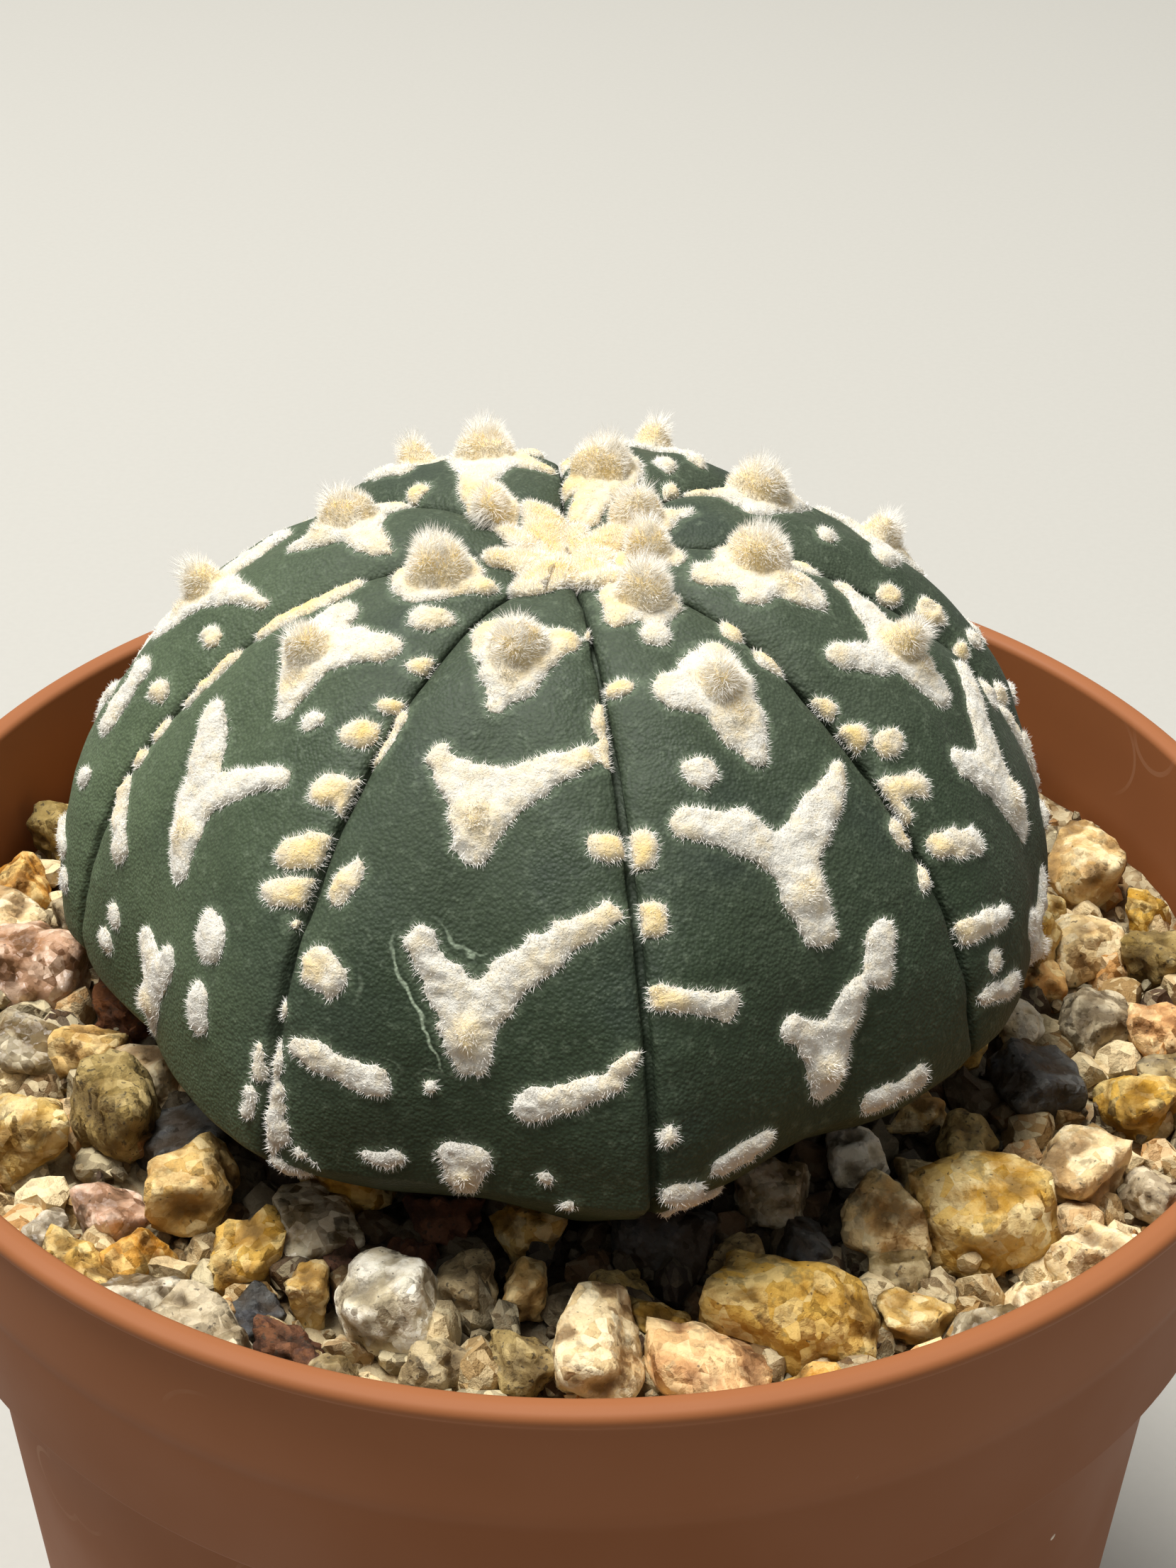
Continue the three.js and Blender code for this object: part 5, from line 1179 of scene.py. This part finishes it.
def vee_strips(vee, draw):
    """The strips of a forked mark: each limb bends once, and swells a little at its end."""
    across, down, left_x, left_y, right_x, right_y, tail_x, tail_y, breadth = vee
    pad = breadth > 1.75
    body = min(1.3 * breadth - 0.1, 2.45)
    arm = 0.78 * body
    limbs = ((left_x, left_y, arm, 1.45 if pad else 1.0), (right_x, right_y, arm, 1.35 if pad else 0.72),
             (tail_x, tail_y, body, 0.85 if pad else 0.68 * body))
    strips = []
    for x, y, root, tip in limbs:
        length = math.hypot(x - across, y - down)
        tip = min(tip * draw.uniform(0.92, 1.12), 0.9 * root)
        share = max(1 - max(tip - 0.7, 0) / length, 0.4)
        x, y = across + (x - across) * share, down + (y - down) * share
        bow = draw.uniform(-0.09, 0.09) * length
        share = draw.uniform(0.42, 0.6)
        mid_x = across + (x - across) * share - (y - down) / length * bow
        mid_y = down + (y - down) * share + (x - across) / length * bow
        middle = 0.5 * (root + tip) * draw.uniform(0.95, 1.1)
        strips.append((across, down, root, mid_x, mid_y, middle))
        strips.append((mid_x, mid_y, middle, x, y, tip))
    return strips


def rib_place(rib, across, down):
    """Places for noise, where each rib has its own."""
    return np.stack([across, down, np.full_like(across, rib * 40.0)], -1)


def felt_field(rib, across, down):
    """Over a rib: distance to the nearest felt, tuft height from 0 to 1, and aged tint."""
    marks = MARKS[rib]
    draw = np.random.default_rng(50 + rib)
    place = rib_place(rib, across, down)
    field = np.full(across.shape, NOWHERE)
    lift, gold = np.zeros(across.shape), np.zeros(across.shape)
    for vee in marks["vees"]:
        mark = np.full(across.shape, NOWHERE)
        for strip in vee_strips(vee, draw):
            mark = smooth_least(mark, strip_distance(across, down, strip), 0.7)
        field = smooth_least(field, mark, 0.25)
        knob_x, knob_y = vee[0] + 0.42 * (vee[6] - vee[0]), vee[1] + 0.42 * (vee[7] - vee[1])
        knob = np.exp(-(((across - knob_x) ** 2 + (down - knob_y) ** 2) / (0.8 * vee[8]) ** 2) ** 1.5)
        lift = np.maximum(lift, 0.24 * knob)
        gold = np.maximum(gold, 0.5 * knob)
    for strip in marks["felt"]:
        field = smooth_least(field, strip_distance(across, down, strip), 0.25)
    for x, y, radius in marks["dots"]:
        stretch = draw.uniform(0.82, 1.2)
        lean = draw.uniform(0, math.pi)
        dx, dy = across - x, down - y
        along = dx * math.cos(lean) + dy * math.sin(lean)
        aside = dy * math.cos(lean) - dx * math.sin(lean)
        field = smooth_least(field, np.hypot(along * stretch, aside / stretch) - radius, 0.2)
    for x, y, radius in marks["tufts"]:
        away = np.hypot(across - x, down - y)
        ragged = 0.5 * lump_noise(place, 1.2, 68) * np.exp(-(away / (2.2 * radius)) ** 4)
        field = smooth_least(field, away - 1.35 * radius + ragged, 0.5)
        uneven = away * (1 + 0.22 * lump_noise(place, 1.3, 69))
        dome = np.clip(1 - (uneven / (0.86 * radius)) ** 2, 0, 1) ** 0.6
        lift = np.maximum(lift, dome)
        gold = np.maximum(gold, 0.95 * np.exp(-(away / (0.98 * radius)) ** 4)
                          * (1 - 0.7 * np.exp(-(away / (0.45 * radius)) ** 2)))
    field = field + 0.26 * lump_noise(place, 1.5, 61) + 0.17 * lump_noise(place, 0.6, 62)
    field = field + 0.09 * lump_noise(place, 0.3, 66)
    return field, lift, gold


def patch_faces(inside):
    """Faces of the cells inside an outline on a grid. Returns lists of corner keys, where a key
    is a grid point, or a pair of grid points for the place where the outline crosses."""
    some = inside[:-1, :-1] | inside[1:, :-1] | inside[:-1, 1:] | inside[1:, 1:]
    faces = []
    for row, column in zip(*np.nonzero(some)):
        corners = [(row, column), (row + 1, column), (row + 1, column + 1), (row, column + 1)]
        face = []
        for here, after in zip(corners, corners[1:] + corners[:1]):
            if inside[here]:
                face.append(here)
            if inside[here] != inside[after]:
                face.append((here, after) if here < after else (after, here))
        if len(face) > 2:
            faces.append(face)
    return faces


def felt_patches(rib, felt, step):
    """Points, faces and attributes of the top of the felt on one rib."""
    down, across = np.meshgrid(np.arange(1.6, 53.6, step), np.arange(-16, 16 + step, step), indexing="ij")
    field, lift, gold = felt_field(rib, across, down)
    _, _, half = place_on_rib(rib, across, down)
    # The felt stops short of the groove.
    field = np.maximum(field, np.abs(across) - (half - 0.3))
    faces = patch_faces(field < 0)
    grids = (across, down, lift, gold, -field)
    keys, spots = {}, []
    for key in (key for face in faces for key in face):
        if key in keys:
            continue
        keys[key] = len(spots)
        if isinstance(key[0], tuple):
            first, second = key
            share = np.clip(field[first] / (field[first] - field[second]), 0.05, 0.95)
            spots.append([a[first] + (a[second] - a[first]) * share for a in grids[:4]] + [0.0, 1.0])
        else:
            spots.append([a[key] for a in grids] + [0.0])
    across, down, lift, gold, inward, rim = np.array(spots, float).T
    place = rib_place(rib, across, down)
    plump = np.sqrt(1 - (1 - np.clip(inward / 0.75, 0, 1)) ** 2)
    rough = 0.26 * (0.5 - np.abs(lump_noise(place, 1.5, 67))) - 0.2 * np.abs(lump_noise(place, 0.75, 63))
    rough += 0.09 * lump_noise(place, 0.42, 64)
    top = felt.height / MM * (0.85 + 0.15 * np.clip(inward / 1.2, 0, 1)) * plump
    top = top + felt.tuft_height / MM * lift * plump + rough * plump * (1 + lift)
    # The rim lies a little deeper in the skin than the felt's own sole.
    height = np.where(rim > 0.5, -0.14, -0.1 + top)
    side, way, half = place_on_rib(rib, across, down)
    side = np.clip(side, -0.985, 0.985)
    # Felt is golden beside the grooves and near the crown, and white at its edges.
    gap = (1 - np.abs(side)) * half
    tint = 0.05 + 0.8 * np.exp(-(gap / 3.0) ** 2) * np.clip((44 - down) / 12, 0, 1)
    tint = np.maximum(tint, 0.5 * np.clip((15 - down) / 9, 0, 1))
    tint = np.maximum(tint * (0.3 + 0.75 * np.clip(inward / 0.6, 0, 1)), gold)
    tint = np.clip(tint + 0.12 * lump_noise(place, 2.2, 65), 0, 1)
    points = raised(np.full(len(side), rib), side, way, half, height)
    corners = [[keys[key] for key in face] for face in faces]
    return points, corners, {"tint": tint, "lift": lift, "inward": inward}


def crown_sides(bearing):
    """The rib and side for each bearing round the crown."""
    ribs, sides = np.zeros(len(bearing), int), np.zeros(len(bearing))
    for rib in range(8):
        left, right = GROOVE[rib], GROOVE[(rib + 1) % 8] + (360 if rib == 7 else 0)
        turned = (np.degrees(bearing) - left) % 360 + left
        low = turned < CREST[rib]
        share = np.where(low, -1, 1) * (turned - CREST[rib]) / (np.where(low, left, right) - CREST[rib])
        here = turned < right
        ribs[here], sides[here] = rib, share[here]
    return ribs, sides


def crown_patch():
    """The golden felt over the crown: a ragged disc with arms between the ribs, and lumps."""
    count, rings = 120, 26
    bearing = np.linspace(-np.pi, np.pi, count, endpoint=False)
    outward = np.stack([np.cos(bearing), np.sin(bearing), np.zeros(count)], 1)
    rim = np.full(count, 3.0)
    for arm, reach, width in CROWN_ARMS:
        off = (np.degrees(bearing) - arm + 180) % 360 - 180
        rim += reach * np.exp(-(off / width) ** 2)
    rim += 0.7 * lump_noise(outward * 6, 1.6, 71) + 0.4 * lump_noise(outward * 6, 0.7, 75)
    share = np.arange(1, rings + 1)[:, None] / rings
    reach, inward = rim * share, rim * (1 - share)
    ribs, sides = crown_sides(bearing)
    way = np.empty(reach.shape)
    for rib in range(8):
        way[:, ribs == rib] = np.interp(reach[:, ribs == rib], RIDGES[rib][0], WAYS)
    flat = outward * reach[..., None]
    ridged = outward * 3.2 + [0, 0, 1] * (reach / 5)[..., None]
    plump = np.sqrt(1 - (1 - np.clip(inward / 0.8, 0, 1)) ** 2)
    lumps = 0.2 * lump_noise(ridged, 0.9, 77) + 0.3 * lump_noise(flat, 1.8, 72)
    lumps += 0.14 * lump_noise(flat, 0.7, 73)
    height = np.where(share > 0.999, -0.15, -0.1 + (0.7 + lumps) * plump)
    felt = raised(ribs, sides, way, 2.0 * (0.2 + share), height)
    centre = skin_at(0, 0, 0.0001) + [0, 0, POT_HEIGHT + 0.9]
    points = np.concatenate([felt.reshape(-1, 3), [centre]])
    inward = np.append(inward, 3.0)
    return points, ring_faces(rings, count) + fan_faces(len(points) - 1, 0, count), {
        "tint": np.clip(0.35 + 0.22 * inward + 0.3 * lump_noise(points, 1.9, 74), 0, 0.9),
        "lift": np.full(len(points), 0.3), "inward": inward}


def joined_parts(parts):
    """One set of points, faces and attributes from several."""
    points, faces, values = zip(*parts)
    starts = np.cumsum([0] + [len(part) for part in points])
    faces = [[i + start for i in face] for start, part in zip(starts, faces) for face in part]
    values = {label: np.concatenate([part[label] for part in values]) for label in values[0]}
    return np.concatenate(points), faces, values


class STARCACTUS_OT_grow_body(bpy.types.Operator):
    """Grows the ribbed body with its creased grooves and its root"""
    bl_idname = "starcactus.grow_body"
    bl_label = "Grow the body"

    def execute(self, context):
        # Points gather towards the grooves, and the rings are closest where the marks lie.
        across = np.linspace(-1, 1, 57)[:-1]
        across = np.sign(across) * (1 - (1 - np.abs(across)) ** 1.35)
        spans = ((0.012, 0.3, 34), (0.308, 1.3, 122), (1.315, 1.62, 16))
        ways = np.concatenate([np.linspace(*span) for span in spans])
        ribs, sides = np.repeat(np.arange(8), len(across)), np.tile(across, 8)
        count = len(ribs)
        half, down = np.empty((len(ways), count)), np.empty((len(ways), count))
        for column, (rib, side) in enumerate(zip(ribs, sides)):
            lengths, left, right = RIDGES[rib]
            half[:, column] = np.interp(ways, WAYS, left if side < 0 else right)
            down[:, column] = np.interp(ways, WAYS, lengths)
        skin = raised(ribs, sides, ways[:, None], half, 0)
        near, off = np.empty(half.shape), np.full(half.shape, NOWHERE)
        for rib in range(8):
            here = ribs == rib
            near[:, here], _, _ = felt_field(rib, (sides * half)[:, here], down[:, here])
        scarred = ribs == SCAR_RIB
        off[:, scarred] = np.hypot((sides * half)[:, scarred] - SCAR_ACROSS, down[:, scarred] - SCAR_DOWN)
        bearings = np.arctan2(skin[-1, :, 1] - PLANT_Y, skin[-1, :, 0] - PLANT_X)
        root = [np.column_stack([PLANT_X + radius * np.cos(bearings), PLANT_Y + radius * np.sin(bearings),
                                 np.full(count, POT_HEIGHT + height)]) for height, radius in ROOT_RINGS]
        tips = [skin_at(0, 0, 0.0001) + [0, 0, POT_HEIGHT], [PLANT_X, PLANT_Y, POT_HEIGHT + ROOT_TIP]]
        points = np.concatenate([skin.reshape(-1, 3), *root, tips])
        rings = len(ways) + len(root)
        faces = ring_faces(rings, count) + fan_faces(rings * count, 0, count)
        faces += fan_faces(rings * count + 1, (rings - 1) * count, count, below=True)
        # The root is far from the felt and the grooves.
        values = {"gap": ((1 - np.abs(sides)) * half, 5.0), "down": (down, 60.0), "felt_near": (near, 5.0),
                  "scar": (np.exp(-(off / SCAR_SIZE) ** 6), 0.0)}
        values = {label: np.append(skin_row, np.full(len(points) - skin_row.size, root_value))
                  for label, (skin_row, root_value) in values.items()}
        piece = make_piece("plant_body", points, faces, cactus_skin(context.scene.star_plant), values)
        finish_piece(piece, "cactus")
        return {"FINISHED"}


class STARCACTUS_OT_grow_felt(bpy.types.Operator):
    """Raises the felt marks and tufts on the ribs, and grows their hairs"""
    bl_idname = "starcactus.grow_felt"
    bl_label = "Grow the felt and wool"

    def execute(self, context):
        felt = context.scene.star_felt
        cloth, wool, tree = plant_felt(felt), areole_wool(), hair_tree()
        for name, ribs in (("front", (7, 0, 1, 2)), ("back", (3, 4, 5, 6))):
            parts = [felt_patches(rib, felt, FELT_STEP) for rib in ribs]
            if name == "front":
                parts.append(crown_patch())
            points, faces, values = joined_parts(parts)
            tint, tall = values["tint"], values["lift"]
            piece = make_piece("felt_" + name, points, faces, cloth, {"tint": tint})
            # Short nap fringes the edges of the marks, and long wool stands on the tufts and crown.
            edge = np.clip(1 - values["inward"] / 0.55, 0, 1)
            nap, wooly = np.where(tall > 0.5, 0, 5 + 60 * edge ** 2), np.where(tall > 0.2, 74, 0)
            hairs = {"nap": (nap, 0.5 + 0.45 * edge, felt.nap_length, 0.8),
                     "wool": (wooly, 0.38 + 1.1 * tall ** 4, felt.wool_length, 0.5)}
            for label, (density, share, length, tilt) in hairs.items():
                grown = make_piece(f"{label}_{name}", points, faces, wool,
                                   {"tint": tint, "hair_density": density, "hair_length": share})
                bake_nodes(grown, tree, {"Density": 1e6, "Length": length, "Width": felt.hair_width / 2,
                                         "Tilt": tilt, "Seed": felt.seed, "Material": wool})
                if not grown.data.polygons:
                    raise RuntimeError("no hairs grew on " + grown.name)
                finish_piece(grown, "cactus")
            # One face closes each outline, hidden under the skin.
            with reworked(piece) as work:
                bmesh.ops.holes_fill(work, edges=[e for e in work.edges if e.is_boundary], sides=0)
            finish_piece(piece, "cactus")
        return {"FINISHED"}


class STARCACTUS_OT_set_stage(bpy.types.Operator):
    """Sets the pale floor, the soft light and the camera"""
    bl_idname = "starcactus.set_stage"
    bl_label = "Set the stage"

    def execute(self, context):
        scene = context.scene
        stage = scene.star_stage
        scene.view_settings.view_transform = "Standard"
        corners = [(x * FLOOR_REACH, y * FLOOR_REACH, -0.05) for x, y in ((-1, -1), (1, -1), (1, 1), (-1, 1))]
        make_piece("floor", corners, [(0, 1, 2, 3)], pale_board(stage), smooth=False)
        world = bpy.data.worlds.new("soft room")
        world.use_nodes = True
        room = Nodes(world.node_tree)
        # The room is bright overhead and behind the plant, and dim towards the viewer.
        facing = room.add("ShaderNodeTexCoord").outputs["Generated"]
        lean = room.math("MULTIPLY_ADD", room.part(facing, 1), 0.35, room.part(facing, 2))
        strength = room.ramp(lean, -0.3, 0.9, 0.12 * stage.sky, 1.6 * stage.sky)
        room.fill(world.node_tree.nodes["Background"], {"Color": linear("#f4f3f0"), "Strength": strength})
        scene.world = world
        lamp = bpy.data.lights.new("overhead softbox", "AREA")
        lamp.shape, lamp.size, lamp.size_y = "RECTANGLE", 0.75, 0.55
        lamp.energy, lamp.color = stage.key_power, (1.0, 0.99, 0.975)
        holder = bpy.data.objects.new("overhead softbox", lamp)
        holder.location = (-0.32, 0.16, 1.35)
        holder.rotation_euler = (Vector((0, 0.1, 0)) - holder.location).to_track_quat("-Z", "Y").to_euler()
        scene.collection.objects.link(holder)
        lens = bpy.data.cameras.new("camera")
        lens.sensor_fit, lens.sensor_width, lens.lens, lens.clip_start = "AUTO", 36, stage.lens, 0.01
        camera = bpy.data.objects.new("camera", lens)
        # The camera looks down at the plant by about 33 degrees. Its axes: right, up and back.
        axes = Matrix(((0.99997, 0.0011, 0.0079), (-0.0072, 0.5469, 0.8372), (-0.0034, -0.8372, 0.5469)))
        camera.matrix_world = Matrix.Translation((0, -0.1362, 0.18258)) @ axes.transposed().to_4x4()
        scene.collection.objects.link(camera)
        scene.camera = camera
        return {"FINISHED"}


OPERATORS = [STARCACTUS_OT_set_stage, STARCACTUS_OT_mould_pot, STARCACTUS_OT_fill_compost,
             STARCACTUS_OT_lay_stones, STARCACTUS_OT_strew_fines, STARCACTUS_OT_grow_body,
             STARCACTUS_OT_grow_felt]
SETTINGS = {"star_pot": PotSettings, "star_grit": GritSettings, "star_plant": PlantSettings,
            "star_felt": FeltSettings, "star_stage": StageSettings}


class STARCACTUS_PT_panel(bpy.types.Panel):
    """Lists the steps of the potted star cactus"""
    bl_idname = "STARCACTUS_PT_panel"
    bl_label = "Star cactus"
    bl_space_type = "VIEW_3D"
    bl_region_type = "UI"
    bl_category = "Star cactus"

    def draw(self, context):
        for operator in OPERATORS:
            self.layout.operator(operator.bl_idname)


def register():
    for item in [*SETTINGS.values(), *OPERATORS, STARCACTUS_PT_panel]:
        bpy.utils.register_class(item)
    for name, kind in SETTINGS.items():
        setattr(bpy.types.Scene, name, bpy.props.PointerProperty(type=kind))


def unregister():
    for name in SETTINGS:
        delattr(bpy.types.Scene, name)
    for item in [STARCACTUS_PT_panel, *reversed(OPERATORS), *reversed(SETTINGS.values())]:
        bpy.utils.unregister_class(item)


def main():
    register()
    for operator in OPERATORS:
        group, name = operator.bl_idname.split(".")
        if getattr(getattr(bpy.ops, group), name)() != {"FINISHED"}:
            raise RuntimeError(operator.bl_label + " did not finish")


if __name__ == "__main__":
    main()
